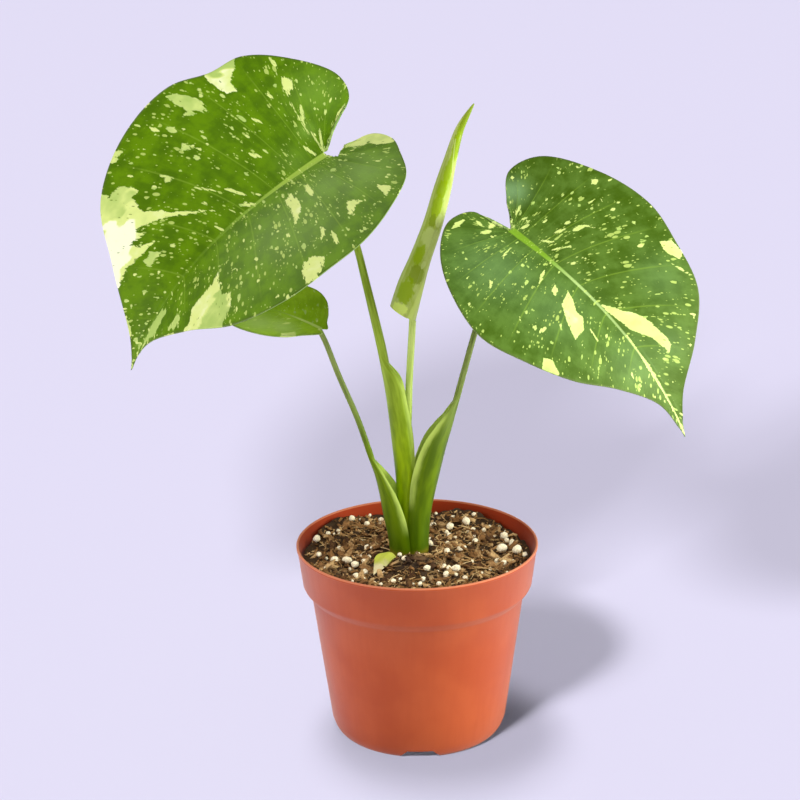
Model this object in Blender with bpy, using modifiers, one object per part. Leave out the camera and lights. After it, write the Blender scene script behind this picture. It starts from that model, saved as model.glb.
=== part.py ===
"""Potted variegated monstera.

A young plant with three open leaves and one rolled new leaf, in a turned plastic
nursery pot filled with potting mix. Metres, +Z up. The origin is on the standing
surface, under the middle of the plant's bounding box, and the pot's axis stands
at POT_X, POT_Y.
"""

import math
import random

import bmesh
import bpy
import numpy as np

MM = 0.001

# Pot: sizes in millimetres from its own axis and foot
POT_X, POT_Y = 6.7, 12.5
POT_HEIGHT = 97.3
RIM_RADIUS = 60.0
BAND_FOOT_RADIUS = 57.2
BAND_FOOT_HEIGHT = 77.5
BODY_TOP_RADIUS = 53.0
BODY_TOP_HEIGHT = 71.5
FOOT_RADIUS = 43.6
STANDING_RADIUS = 41.8
STANDING_WIDTH = 3.0
WALL = 1.5
FLOOR_UNDERSIDE = 4.2
FLOOR_TOP = 6.0
LIP_HEIGHT = 1.6
NOTCH_COUNT = 3
NOTCH_BASE, NOTCH_TOP, NOTCH_HEIGHT = 20.5, 12.6, 3.9
DRAIN_COUNT, DRAIN_RADIUS, DRAIN_RING = 6, 4.0, 27.0
POT_STEPS = 56

# Potting mix
SOIL_GAP = 0.4
SOIL_EDGE_HEIGHT = 88.0
SOIL_MOUND = 5.0
SOIL_MOUND_SPREAD = 27.0
SOIL_CLUMP = 4.5
SOIL_SIDES = 48
HOLE_RADIUS, HOLE_FLOOR = 10.6, 56.0
GRAIN_SEED = 7
GRAIN_COUNT, CHIP_COUNT = 34, 26
GRAIN_RADII = (1.2, 2.4)
CHIP_LENGTHS = (4.0, 8.0)
CHIP_DEPTH = 2.2
BIT_RING = (17.0, 52.0)
STALK_CLEARANCE = 16.5
SCALE_CLEARANCE = ((-27.0, -5.0), (-39.0, -9.0))

# Plant: millimetres from the pot's axis and foot
PLANT_X, PLANT_Y = -3.8, 0.0
STEM_RADIUS = 9.2
STALK_EDGE = 0.75
STALK_SEAT = 0.6
STEM_TOP = 72.0
GAP = 0.3
BLADE_THICKNESS = 0.8
MARGIN_STEPS = 26
VEIN_STEPS = 4
LOBE_SHARE = 0.24
VEIN_BEND = 1.25
CURL_SPAN = 80.0

# Each open leaf: where its blade meets the stalk, the way its midrib sets out, how the
# blade arches along it and folds across it (degrees), and its flat outline on each side
# of the midrib as (along, out) from the stalk, ending at the tip.
LARGE = dict(
    base=(-40.0, -5.0, 291.5), azimuth=202.5, elevation=-27.5, roll=-17.5,
    length=139.0, arch=46.0, lobe_droop=40.0, fold=(9.5, 33.0), curl=(-12.0, -12.0),
    left=[(-10, 1.5), (-23, 4), (-27, 17), (-23, 33), (-15, 52), (2, 66), (20, 74), (38, 75),
          (61, 72), (84, 58), (102.5, 31), (124, 4.5)],
    right=[(-13, 11), (-25.5, 20), (-27, 33), (-15, 52), (2, 68), (18, 70), (35, 77), (60, 73),
           (86.5, 57.5), (104, 32), (125, 7)],
)
RIGHT = dict(
    base=(45.5, -5.0, 255.0), azimuth=325.5, elevation=-28.5, roll=16.0,
    length=129.5, arch=44.0, lobe_droop=40.0, fold=(20.5, 5.5), curl=(-12.0, -12.0),
    left=[(-6, 6), (-14, 13), (-23, 26), (-18, 43), (8, 56), (35, 59.5), (56, 53.5),
          (77.5, 45.5), (95, 27.5), (111, 8.5), (124, 1.5)],
    right=[(-7, 3), (-19.5, 4.5), (-22, 20), (-10.5, 41), (9, 57), (36, 66), (57.5, 58),
           (76.5, 44.5), (92, 25), (109.5, 7), (124, 1.8)],
)
SMALL = dict(
    base=(-44.5, -12.0, 210.5), azimuth=158.0, elevation=20.0, roll=-8.0,
    length=66.0, arch=44.0, lobe_droop=40.0, fold=(4.5, 8.0), curl=(-12.0, -12.0),
    left=[(-3, 3), (-1, 8), (3, 14), (8, 22), (17, 28), (29, 28.5), (42, 21), (55, 8)],
    right=[(-3, 2), (0, 7), (3, 14), (8, 22), (16, 27.5), (28, 27.5), (41, 21), (55, 8)],
)

# Each stalk, foot to blade: (x, y, z), thickness, sheath share, sheath radius and half angle.
# A share of 1 is a channel wrapped round its neighbours, 0 a round stalk.
STALK_SIDES = 7
LARGE_STALK = [
    ((-7.4, 0, 72.3), 2.5, 1, 3.5, 116), ((-7.4, 0, 96.5), 2.6, 1, 3.6, 116),
    ((-7.9, 0.4, 113), 3.0, 1, 4.0, 116), ((-8.5, 1, 130), 3.2, 1, 4.9, 126),
    ((-9.9, 2, 147), 3.5, 1, 5.4, 128), ((-10.9, 2.6, 158), 3.7, 1, 5.3, 126),
    ((-12.3, 3.6, 172), 4.1, 1, 4.8, 124), ((-13.6, 4.6, 181), 4.3, 0.85, 4.8, 116),
    ((-15.3, 5.4, 191.5), 4.5, 0, 4.8, 100), ((-17.4, 6.2, 202), 4.4, 0, 4.8, 100),
    ((-23.5, 8, 229.5), 3.8, 0, 4.8, 100), ((-26.8, 8.8, 244), 3.5, 0, 4.8, 100),
    ((-31.4, 8, 260), 3.3, 0, 4.8, 100), ((-36.2, 4, 276.5), 3.2, 0, 4.8, 100),
]
RIGHT_STALK = [
    ((4.9, 0, 72.3), 1.9, 1, 6.4, 112), ((4.9, 0, 96.5), 1.9, 1, 6.4, 112),
    ((6.2, 0, 113), 2.0, 1, 6.5, 124), ((10.0, 1, 131), 2.3, 1, 7.7, 124),
    ((13.9, 2, 147.5), 2.7, 1, 7.4, 110), ((16.2, 2.6, 155.5), 2.9, 1, 5.9, 100),
    ((18.0, 3.2, 162.5), 3.1, 0.75, 4.6, 92), ((20.8, 4.2, 172.5), 3.2, 0, 4.6, 90),
    ((24.0, 5.6, 184), 3.1, 0, 4.6, 90), ((29.4, 7.6, 203), 2.9, 0, 4.6, 90),
    ((38.2, 7.6, 230.5), 2.8, 0, 4.6, 90), ((42.6, 3.4, 245), 2.8, 0, 4.6, 90),
]
SMALL_STALK = [
    ((-12.9, 0, 72.3), 1.9, 1, 8.3, 98), ((-13.0, 0, 96.5), 1.9, 1, 8.4, 98),
    ((-15.7, -0.4, 112.5), 2.0, 1, 7.9, 103), ((-17.4, -1.9, 124.5), 2.2, 1, 6.1, 102),
    ((-19.4, -3.9, 135), 2.5, 0.8, 3.7, 100), ((-22.2, -5.2, 144.5), 2.9, 0, 3.9, 90),
    ((-28.0, -8, 164), 2.8, 0, 3.9, 90), ((-37.0, -10.4, 188), 2.7, 0, 3.9, 90),
    ((-42.3, -11.6, 203.5), 2.6, 0, 3.9, 90),
]
ROLLED_STALK = [
    ((-3.9, 0, 72.3), 2.9, 0, 1, 90), ((-3.9, 0, 96.5), 2.9, 0, 1, 90),
    ((-4.0, 0.4, 113), 3.1, 0, 1, 90), ((-3.7, 1, 130), 3.3, 0, 1, 90),
    ((-4.0, 2, 147), 3.4, 0, 1, 90), ((-3.4, 2.6, 165), 3.4, 0, 1, 90),
    ((-2.8, 3, 181), 3.4, 0, 1, 90), ((-1.4, 3.2, 202.0), 3.4, 0, 1, 90),
    ((-0.9, 3.2, 210.3), 3.4, 0, 1, 90),
]

# The rolled leaf, foot to tip: middle of each section and its radius
ROLL = [
    ((-5.6, 3.0, 213.6), 6.9), ((-2.4, 3.2, 227.0), 6.7), ((1.5, 3.4, 239.0), 6.0),
    ((7.6, 3.6, 256.5), 5.4), ((12.9, 3.8, 273.5), 4.7), ((17.0, 4.0, 287.0), 3.5),
    ((22.0, 4.0, 301.0), 2.2), ((26.0, 4.0, 308.5), 1.2), ((28.7, 4.0, 313.0), 0.35),
]
ROLL_SIDES = 16
ROLL_STEP = 0.9
ROLL_SEAM = -70.0
ROLL_MOUTH_DEPTH = 9.0
ROLL_MOUTH_SLANT = 0.29

# The dried scale: its corners as (x, y) on the mix, and its height over it
SCALE_CORNERS = [(-21.0, -17.5), (-10.5, -16.0), (-21.5, -33.0)]
SCALE_RISE = [6.0, 3.0, 0.9]
SCALE_STEPS = 5
SCALE_THICKNESS = 0.8


def clear_scene():
    for obj in list(bpy.data.objects):
        bpy.data.objects.remove(obj, do_unlink=True)


def new_collection(name):
    group = bpy.data.collections.new(name)
    bpy.context.scene.collection.children.link(group)
    return group


def material(name, colour, roughness):
    """A plain Principled material."""
    made = bpy.data.materials.new(name)
    made.use_nodes = True
    shader = made.node_tree.nodes["Principled BSDF"]
    shader.inputs["Base Color"].default_value = (*colour, 1.0)
    shader.inputs["Roughness"].default_value = roughness
    shader.inputs["Metallic"].default_value = 0.0
    return made


def add_object(name, mesh, group, finish=None):
    obj = bpy.data.objects.new(name, mesh)
    group.objects.link(obj)
    obj.location = (POT_X * MM, POT_Y * MM, 0.0)
    if finish:
        mesh.materials.append(finish)
        mesh.shade_smooth()
        mesh.set_sharp_from_angle(angle=math.radians(35))
    return obj


def mesh_from(name, points, faces):
    """A mesh from points in millimetres, with doubles merged and faces turned out."""
    work = bmesh.new()
    made = [work.verts.new(np.asarray(p) * MM) for p in points]
    for face in faces:
        work.faces.new([made[i] for i in face])
    bmesh.ops.remove_doubles(work, verts=work.verts, dist=0.00001)
    bmesh.ops.recalc_face_normals(work, faces=work.faces)
    mesh = bpy.data.meshes.new(name)
    work.to_mesh(mesh)
    work.free()
    return mesh


def loft(name, rings):
    """A closed mesh through rings of equal length, with a flat cap at each end."""
    sides = len(rings[0])
    points = [p for ring in rings for p in ring]
    faces = [list(range(sides))[::-1]]
    for k in range(len(rings) - 1):
        for i in range(sides):
            j = (i + 1) % sides
            faces.append([k * sides + i, k * sides + j, (k + 1) * sides + j, (k + 1) * sides + i])
    faces.append([(len(rings) - 1) * sides + i for i in range(sides)])
    return mesh_from(name, points, faces)


def smooth_curve(points, steps):
    """A smooth curve through the points, with this many steps a span."""
    p = np.asarray(points, float)
    gaps = np.sqrt(np.linalg.norm(np.diff(p[:, :3], axis=0), axis=1))
    knots = np.concatenate([[0.0], np.cumsum(gaps)])
    slopes = np.diff(p, axis=0) / gaps[:, None]
    tangents = np.zeros_like(p)
    before, after = gaps[:-1, None], gaps[1:, None]
    tangents[1:-1] = (slopes[1:] * before + slopes[:-1] * after) / (before + after)
    tangents[0] = 1.5 * slopes[0] - 0.5 * tangents[1]
    tangents[-1] = 1.5 * slopes[-1] - 0.5 * tangents[-2]
    made = []
    for k in range(len(p) - 1):
        span = knots[k + 1] - knots[k]
        t = np.linspace(0, 1, steps, endpoint=False)[:, None]
        made.append(
            (2 * t**3 - 3 * t**2 + 1) * p[k] + (t**3 - 2 * t**2 + t) * span * tangents[k]
            + (3 * t**2 - 2 * t**3) * p[k + 1] + (t**3 - t**2) * span * tangents[k + 1]
        )
    return np.concatenate(made + [p[-1:]])


def even_curve(points, count):
    """The same curve read at evenly spaced points along it."""
    fine = smooth_curve(points, 24)
    reach = np.concatenate([[0.0], np.cumsum(np.linalg.norm(np.diff(fine, axis=0), axis=1))])
    wanted = np.linspace(0, reach[-1], count + 1)
    return np.stack([np.interp(wanted, reach, fine[:, k]) for k in range(fine.shape[1])], axis=1)


# Pot

def pot_outer_radius(z):
    """The pot's outer radius at a height, without its lip."""
    heights = [0, 2.2, 5.5, BODY_TOP_HEIGHT, BODY_TOP_HEIGHT + 1.6, BAND_FOOT_HEIGHT - 1.5,
               BAND_FOOT_HEIGHT, POT_HEIGHT]
    radii = [STANDING_RADIUS, FOOT_RADIUS - 0.5, FOOT_RADIUS + 0.65, BODY_TOP_RADIUS,
             BODY_TOP_RADIUS + 0.9, BAND_FOOT_RADIUS - 0.7, BAND_FOOT_RADIUS, RIM_RADIUS - 0.5]
    return float(np.interp(z, heights, radii))


def pot_inner_radius(z):
    return pot_outer_radius(z) - WALL


def pot_profile():
    """From the floor's middle up the inside, over the lip, down the outside and under."""
    levels = [FLOOR_TOP + 1.5, BODY_TOP_HEIGHT, BODY_TOP_HEIGHT + 1.6, BAND_FOOT_HEIGHT - 1.5,
              BAND_FOOT_HEIGHT]
    inner = [(pot_inner_radius(z), z) for z in levels]
    outer = [(pot_outer_radius(z), z) for z in levels[:0:-1]] + [
        (pot_outer_radius(z), z) for z in (40.0, 5.5, 2.2, 0.6)
    ]
    lip = [
        (RIM_RADIUS - 0.5 - WALL, POT_HEIGHT - LIP_HEIGHT),
        (RIM_RADIUS - 0.4 - WALL, POT_HEIGHT - 0.3),
        (RIM_RADIUS - 1.3, POT_HEIGHT),
        (RIM_RADIUS - 0.4, POT_HEIGHT),
        (RIM_RADIUS, POT_HEIGHT - 0.5),
        (RIM_RADIUS, POT_HEIGHT - LIP_HEIGHT + 0.3),
        (RIM_RADIUS - 0.5, POT_HEIGHT - LIP_HEIGHT - 0.3),
    ]
    foot = [
        (STANDING_RADIUS - 0.3, 0.0),
        (STANDING_RADIUS - STANDING_WIDTH, 0.0),
        (STANDING_RADIUS - STANDING_WIDTH - 0.4, FLOOR_UNDERSIDE),
        (0.0, FLOOR_UNDERSIDE),
    ]
    floor = [(0.0, FLOOR_TOP), (pot_inner_radius(FLOOR_TOP) - 1.5, FLOOR_TOP)]
    return floor + inner + lip + outer + foot


def notch_cutter(name, angle, group):
    """A wedge that opens the foot between two standing stretches."""
    reach_in, reach_out = FOOT_RADIUS - 8.0, FOOT_RADIUS + 4.0
    corners = [
        (-NOTCH_BASE / 2 - 0.6, -1.0), (NOTCH_BASE / 2 + 0.6, -1.0),
        (NOTCH_TOP / 2, NOTCH_HEIGHT), (-NOTCH_TOP / 2, NOTCH_HEIGHT),
    ]
    rings = [[(reach, along, z) for along, z in corners] for reach in (reach_in, reach_out)]
    cutter = add_object(name, loft(name, rings), group)
    cutter.rotation_euler.z = angle
    return cutter


def drain_cutter(name, angle, group):
    work = bmesh.new()
    bmesh.ops.create_cone(
        work, cap_ends=True, segments=16, radius1=DRAIN_RADIUS * MM, radius2=DRAIN_RADIUS * MM,
        depth=6.0 * MM,
    )
    mesh = bpy.data.meshes.new(name)
    work.to_mesh(mesh)
    work.free()
    cutter = add_object(name, mesh, group)
    cutter.location.x += DRAIN_RING * MM * math.cos(angle)
    cutter.location.y += DRAIN_RING * MM * math.sin(angle)
    cutter.location.z = (FLOOR_UNDERSIDE + FLOOR_TOP) / 2 * MM
    return cutter


def make_pot(group, cutters):
    profile = pot_profile()
    mesh = bpy.data.meshes.new("pot")
    mesh.from_pydata(
        [(r * MM, 0.0, z * MM) for r, z in profile],
        [(k, k + 1) for k in range(len(profile) - 1)], [],
    )
    pot = add_object("pot", mesh, group)
    screw = pot.modifiers.new("turn", "SCREW")
    screw.steps = screw.render_steps = POT_STEPS
    screw.use_merge_vertices = True
    screw.merge_threshold = 0.00001
    for k in range(NOTCH_COUNT):
        notch_cutter(f"notch_cutter_{k}", math.radians(-90 + 360 * k / NOTCH_COUNT), cutters)
    for k in range(DRAIN_COUNT):
        drain_cutter(f"drain_cutter_{k}", math.radians(360 * k / DRAIN_COUNT), cutters)
    for cutter in cutters.objects:
        cutter.hide_render = True
        cutter.display_type = "WIRE"
    cut = pot.modifiers.new("notches and drains", "BOOLEAN")
    cut.operation = "DIFFERENCE"
    cut.operand_type = "COLLECTION"
    cut.collection = cutters
    mesh.materials.append(material("terracotta plastic", (0.52, 0.12, 0.045), 0.42))
    return pot


# Potting mix

def soil_height(x, y):
    """The mix's surface, heaped round the stalks, with a clump in front of them."""
    far = math.hypot(x - PLANT_X, y - PLANT_Y)
    mound = SOIL_MOUND * math.exp(-((far / SOIL_MOUND_SPREAD) ** 2))
    clump = SOIL_CLUMP * math.exp(-(((x + 1.0) / 9.0) ** 2) - (((y + 21.0) / 8.0) ** 2))
    front = 1.2 * (1 - math.tanh((y + 20.0) / 18.0))
    lumps = 0.7 * math.sin(0.31 * x + 1.1) * math.sin(0.37 * y + 0.4)
    lumps += 0.5 * math.sin(0.72 * x - 0.55 * y + 2.0)
    return SOIL_EDGE_HEIGHT + mound + clump + front + lumps


def soil_rings():
    """Under the mix, up its side, in over its surface and down into the stem's hole."""
    turn = [math.tau * k / SOIL_SIDES for k in range(SOIL_SIDES)]
    side_levels = [FLOOR_TOP + 0.4, FLOOR_TOP + 1.9, BODY_TOP_HEIGHT, BODY_TOP_HEIGHT + 1.6,
                   BAND_FOOT_HEIGHT - 1.5, BAND_FOOT_HEIGHT]
    rings = []
    for k, z in enumerate(side_levels):
        radius = pot_inner_radius(z) - SOIL_GAP - (1.5 if k == 0 else 0.0)
        rings.append([(radius * math.cos(a), radius * math.sin(a), z) for a in turn])
    edge = pot_inner_radius(SOIL_EDGE_HEIGHT) - SOIL_GAP - 0.2
    for share in (1.0, 0.84, 0.68, 0.52, 0.36, 0.18, 0.0):
        ring = []
        for a in turn:
            radius = HOLE_RADIUS + share * (edge - HOLE_RADIUS)
            x = PLANT_X * (1 - share) + radius * math.cos(a)
            y = PLANT_Y * (1 - share) + radius * math.sin(a)
            ring.append((x, y, soil_height(x, y)))
        rings.append(ring)
    rings.append([
        (PLANT_X + HOLE_RADIUS * math.cos(a), PLANT_Y + HOLE_RADIUS * math.sin(a), HOLE_FLOOR)
        for a in turn
    ])
    return rings


def free_spot(rng):
    """A place on the mix, clear of the pot's wall, the stalks and the dried scale."""
    while True:
        radius = math.sqrt(rng.uniform(BIT_RING[0] ** 2, BIT_RING[1] ** 2))
        angle = rng.uniform(0, math.tau)
        x, y = radius * math.cos(angle), radius * math.sin(angle)
        (west, east), (south, north) = SCALE_CLEARANCE
        near_scale = west < x < east and south < y < north
        if math.hypot(x - PLANT_X, y - PLANT_Y) > STALK_CLEARANCE and not near_scale:
            return x, y


def add_grain(name, rng, group):
    """A rounded perlite grain, more than half sunk into the mix."""
    work = bmesh.new()
    size = rng.uniform(*GRAIN_RADII)
    bmesh.ops.create_icosphere(work, subdivisions=1, radius=size * MM)
    return place_bit(name, work, rng, group, (1.0, rng.uniform(0.75, 1.0), 0.85))


def add_chip(name, rng, group):
    """A flat bark chip, sunk into the mix."""
    work = bmesh.new()
    bmesh.ops.create_cube(work, size=MM)
    length = rng.uniform(*CHIP_LENGTHS)
    width = length * rng.uniform(0.3, 0.5)
    return place_bit(name, work, rng, group, (length, width, CHIP_DEPTH))


def place_bit(name, work, rng, group, scale):
    tilt = [rng.uniform(-0.35, 0.35), rng.uniform(-0.35, 0.35), rng.uniform(0, math.tau)]
    for vert in work.verts:
        vert.co.x *= scale[0]
        vert.co.y *= scale[1]
        vert.co.z *= scale[2]
    mesh = bpy.data.meshes.new(name)
    work.to_mesh(mesh)
    work.free()
    bit = add_object(name, mesh, group)
    x, y = free_spot(rng)
    bit.rotation_euler = tilt
    bit.location.x += x * MM
    bit.location.y += y * MM
    bit.location.z = soil_height(x, y) * MM
    return bit


def apply_modifiers(obj):
    graph = bpy.context.evaluated_depsgraph_get()
    return bpy.data.meshes.new_from_object(obj.evaluated_get(graph))


def make_soil(group):
    """The mix with its grains and chips fused in."""
    finish = material("potting mix", (0.13, 0.075, 0.04), 0.95)
    soil = add_object("soil", loft("soil", soil_rings()), group, finish)
    bits = new_collection("grains and chips")
    rng = random.Random(GRAIN_SEED)
    for k in range(GRAIN_COUNT):
        add_grain(f"grain_{k}", rng, bits)
    for k in range(CHIP_COUNT):
        add_chip(f"chip_{k}", rng, bits)
    fuse = soil.modifiers.new("grains and chips", "BOOLEAN")
    fuse.operation = "UNION"
    fuse.solver = "MANIFOLD"
    fuse.operand_type = "COLLECTION"
    fuse.collection = bits
    fused = apply_modifiers(soil)
    soil.modifiers.clear()
    soil.data = fused
    for bit in list(bits.objects):
        bpy.data.objects.remove(bit, do_unlink=True)
    bpy.data.collections.remove(bits)
    return soil


# Stem and stalks

def make_stem(group):
    """The short stem under the mix that the stalks grow from."""
    work = bmesh.new()
    low = HOLE_FLOOR + GAP
    high = STEM_TOP
    bmesh.ops.create_cone(
        work, cap_ends=True, segments=24, radius1=STEM_RADIUS * 0.8 * MM,
        radius2=STEM_RADIUS * MM, depth=(high - low) * MM,
    )
    bmesh.ops.translate(
        work, verts=work.verts, vec=(PLANT_X * MM, PLANT_Y * MM, (low + high) / 2 * MM)
    )
    mesh = bpy.data.meshes.new("stem_base")
    work.to_mesh(mesh)
    work.free()
    return add_object("stem_base", mesh, group, material("stem", (0.22, 0.19, 0.06), 0.6))


def stalk_ring(middle, along, opening, thickness, share, radius, half_angle):
    """One section of a stalk: a channel that opens one way, a round one, or between."""
    inward = opening - along * (opening @ along)
    inward /= np.linalg.norm(inward)
    across = np.cross(along, inward)
    outer_arc, inner_arc, back, front = [], [], [], []
    for k in range(STALK_SIDES):
        t = 2 * k / (STALK_SIDES - 1) - 1
        a = math.radians(half_angle) * t
        wall = 0.5 * (STALK_EDGE + (thickness - STALK_EDGE) * math.cos(t * math.pi / 2) ** 1.3)
        out = -inward * math.cos(a) + across * math.sin(a)
        spot = middle + inward * radius + out * radius
        outer_arc.append(spot + out * wall)
        inner_arc.append(spot - out * wall)
        b = math.radians(80) * t
        back.append(middle + thickness / 2 * (-inward * math.cos(b) + across * math.sin(b)))
        front.append(middle + thickness / 2 * (inward * math.cos(b) + across * math.sin(b)))
    channel = np.array(outer_arc + inner_arc[::-1])
    rounded = np.array(back + front[::-1])
    return channel * share + rounded * (1 - share)


def make_stalk(name, stations, opening, group, finish, end=None, steps=3, slant=0.0):
    """A stalk through its stations, ending just under its blade, its end cut at a slant."""
    rows = [[*place, *rest] for place, *rest in stations]
    if end is not None:
        rows.append([*end, rows[-1][3], 0, *rows[-1][5:]])
    path = smooth_curve(rows, steps)
    path[:, 4] = np.clip(path[:, 4], 0, 1)
    slopes = np.gradient(path[:, :3], axis=0)
    slopes[0] = (0, 0, 1)
    rings = []
    for row, slope in zip(path, slopes):
        along = slope / np.linalg.norm(slope)
        rings.append(stalk_ring(row[:3], along, np.array(opening), *row[3:]))
    rings[-1][:, 2] -= (rings[-1] - path[-1, :3])[:, 0] * slant
    return add_object(name, loft(name, rings), group, finish)


# Blades

def blade_frame(leaf):
    """The midrib's first direction, the upper face's normal and the way to the right."""
    azimuth, elevation, roll = (math.radians(leaf[k]) for k in ("azimuth", "elevation", "roll"))
    along = np.array([
        math.cos(elevation) * math.cos(azimuth), math.cos(elevation) * math.sin(azimuth),
        math.sin(elevation),
    ])
    upright = np.array([0.0, 0.0, 1.0]) - along * along[2]
    upright /= np.linalg.norm(upright)
    normal = upright * math.cos(roll) + np.cross(along, upright) * math.sin(roll)
    return along, normal, np.cross(along, normal)


def blade_points(leaf, a, b, side):
    """Where the flat blade's points (a along the midrib, b out from it) lie in space."""
    along, normal, rightward = blade_frame(leaf)
    length = leaf["length"]
    reach = np.linspace(-0.6 * length, 1.02 * length, 500)
    share = np.abs(reach / length)
    dip = np.where(reach > 0, math.radians(leaf["arch"]) * share**1.5,
                   -math.radians(leaf["lobe_droop"]) * share)
    step = reach[1] - reach[0]
    forward = np.cumsum(np.cos(dip)) * step
    down = np.cumsum(np.sin(dip)) * step
    forward -= np.interp(0, reach, forward)
    down -= np.interp(0, reach, down)
    dip_here = np.interp(a, reach, dip)[..., None]
    lifted = np.cos(dip_here) * normal + np.sin(dip_here) * along
    fold = math.radians(leaf["fold"][0 if side < 0 else 1])
    curl = math.radians(leaf["curl"][0 if side < 0 else 1]) / CURL_SPAN
    out = (np.sin(fold + curl * b) - math.sin(fold)) / curl
    up = (math.cos(fold) - np.cos(fold + curl * b)) / curl
    spine = np.array(leaf["base"]) + np.interp(a, reach, forward)[..., None] * along
    spine = spine - np.interp(a, reach, down)[..., None] * normal
    return spine + side * out[..., None] * rightward + up[..., None] * lifted


def half_blade(leaf, side):
    """A grid of points of one half: rows along the veins, from the midrib to the margin."""
    outline = leaf["left" if side < 0 else "right"]
    length = leaf["length"]
    margin = even_curve([(0, 0), *outline, (length, 0)], MARGIN_STEPS)
    u = np.linspace(0, 1, MARGIN_STEPS + 1)
    start = length * np.clip((u - LOBE_SHARE) / (1 - LOBE_SHARE), 0, 1)
    v = np.linspace(0, 1, VEIN_STEPS + 1)
    a = start[:, None] + (margin[:, :1] - start[:, None]) * v**VEIN_BEND
    b = np.maximum(margin[:, 1:], 0) * v
    return blade_points(leaf, a, b, side)


def make_blade(name, leaf, group, finish):
    """The folded and arched sheet of a leaf, given its thickness underneath."""
    work = bmesh.new()
    for side in (-1, 1):
        grid = half_blade(leaf, side)
        made = [[work.verts.new(p * MM) for p in row] for row in grid]
        for i in range(len(made) - 1):
            for j in range(len(made[0]) - 1):
                corners = [made[i][j], made[i + 1][j], made[i + 1][j + 1], made[i][j + 1]]
                work.faces.new(corners if side < 0 else corners[::-1])
    bmesh.ops.remove_doubles(work, verts=work.verts, dist=0.00002)
    bmesh.ops.triangulate(work, faces=work.faces)
    mesh = bpy.data.meshes.new(name)
    work.to_mesh(mesh)
    work.free()
    blade = add_object(name, mesh, group, finish)
    solid = blade.modifiers.new("thickness", "SOLIDIFY")
    solid.thickness = BLADE_THICKNESS * MM
    solid.offset = -1.0
    solid.use_quality_normals = True
    return blade


def stalk_end(leaf):
    """Just under the blade, at the foot of its midrib."""
    _, normal, _ = blade_frame(leaf)
    return np.array(leaf["base"]) - normal * (BLADE_THICKNESS + STALK_SEAT)


def make_rolled_blade(group, finish):
    """The rolled leaf: a tapering roll with a lapped edge and an open mouth below."""
    path = smooth_curve([[*place, radius] for place, radius in ROLL], 3)
    slopes = np.gradient(path[:, :3], axis=0)
    rings = []
    for row, slope in zip(path, slopes):
        along = slope / np.linalg.norm(slope)
        east = np.array([1.0, 0.0, 0.0]) - along * along[0]
        east /= np.linalg.norm(east)
        north = np.cross(along, east)
        step = min(ROLL_STEP, row[3] * 0.3)
        ring = []
        for k in range(ROLL_SIDES):
            turned = k / (ROLL_SIDES - 1)
            a = math.radians(ROLL_SEAM) + math.tau * k / ROLL_SIDES
            radius = row[3] - step / 2 + step * turned
            ring.append(row[:3] + radius * (math.cos(a) * east + math.sin(a) * north))
        rings.append(np.array(ring))
    foot = path[0, :3]
    along = slopes[0] / np.linalg.norm(slopes[0])
    rings[0] -= np.outer((rings[0] - foot)[:, 0] * ROLL_MOUTH_SLANT, along)
    mouth = foot + (rings[0] - foot) * 0.78
    throat = foot + along * ROLL_MOUTH_DEPTH + (rings[0] - foot) * 0.2
    return add_object(
        "leaf_rolled_blade", loft("leaf_rolled_blade", [throat, mouth, *rings]), group, finish
    )


def make_scale(group):
    """The dried scale: a curled three-cornered flap leaning on the mix."""
    corners = np.array(SCALE_CORNERS)
    work = bmesh.new()
    rows = []
    for i in range(SCALE_STEPS + 1):
        down = i / SCALE_STEPS
        row = []
        for j in range(SCALE_STEPS + 1):
            across = j / SCALE_STEPS
            weights = np.array([(1 - down) * (1 - across), (1 - down) * across, down])
            x, y = weights @ corners
            rise = weights @ np.array(SCALE_RISE) + 1.4 * math.sin(math.pi * across) * (1 - down)
            row.append(work.verts.new(np.array([x, y, soil_height(x, y) + rise]) * MM))
        rows.append(row)
    for i in range(SCALE_STEPS):
        for j in range(SCALE_STEPS):
            work.faces.new([rows[i][j], rows[i + 1][j], rows[i + 1][j + 1], rows[i][j + 1]])
    bmesh.ops.remove_doubles(work, verts=work.verts, dist=0.00002)
    bmesh.ops.triangulate(work, faces=work.faces)
    mesh = bpy.data.meshes.new("scale_leaf")
    work.to_mesh(mesh)
    work.free()
    scale = add_object("scale_leaf", mesh, group, material("dried scale", (0.45, 0.42, 0.14), 0.7))
    solid = scale.modifiers.new("thickness", "SOLIDIFY")
    solid.thickness = SCALE_THICKNESS * MM
    solid.offset = 0.0
    return scale


def main():
    clear_scene()
    group = new_collection("potted monstera")
    cutters = new_collection("cutters")
    make_pot(group, cutters)
    make_soil(group)
    make_stem(group)
    stalk = material("stalk", (0.14, 0.26, 0.03), 0.45)
    blade = material("leaf", (0.09, 0.2, 0.02), 0.4)
    roll = material("new leaf", (0.26, 0.4, 0.05), 0.45)
    right, left = (1.0, 0.0, 0.0), (-1.0, 0.0, 0.0)
    make_stalk("leaf_large_petiole", LARGE_STALK, right, group, stalk, stalk_end(LARGE))
    make_stalk("leaf_right_petiole", RIGHT_STALK, left, group, stalk, stalk_end(RIGHT))
    make_stalk("leaf_small_petiole", SMALL_STALK, right, group, stalk, stalk_end(SMALL))
    make_stalk("leaf_rolled_petiole", ROLLED_STALK, right, group, stalk, steps=2, slant=0.55)
    make_blade("leaf_large_blade", LARGE, group, blade)
    make_blade("leaf_right_blade", RIGHT, group, blade)
    make_blade("leaf_small_blade", SMALL, group, blade)
    make_rolled_blade(group, roll)
    make_scale(group)


main()
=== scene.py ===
import math
import random

import bmesh
import bpy
import numpy as np
from mathutils import Matrix, Vector, noise


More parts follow.
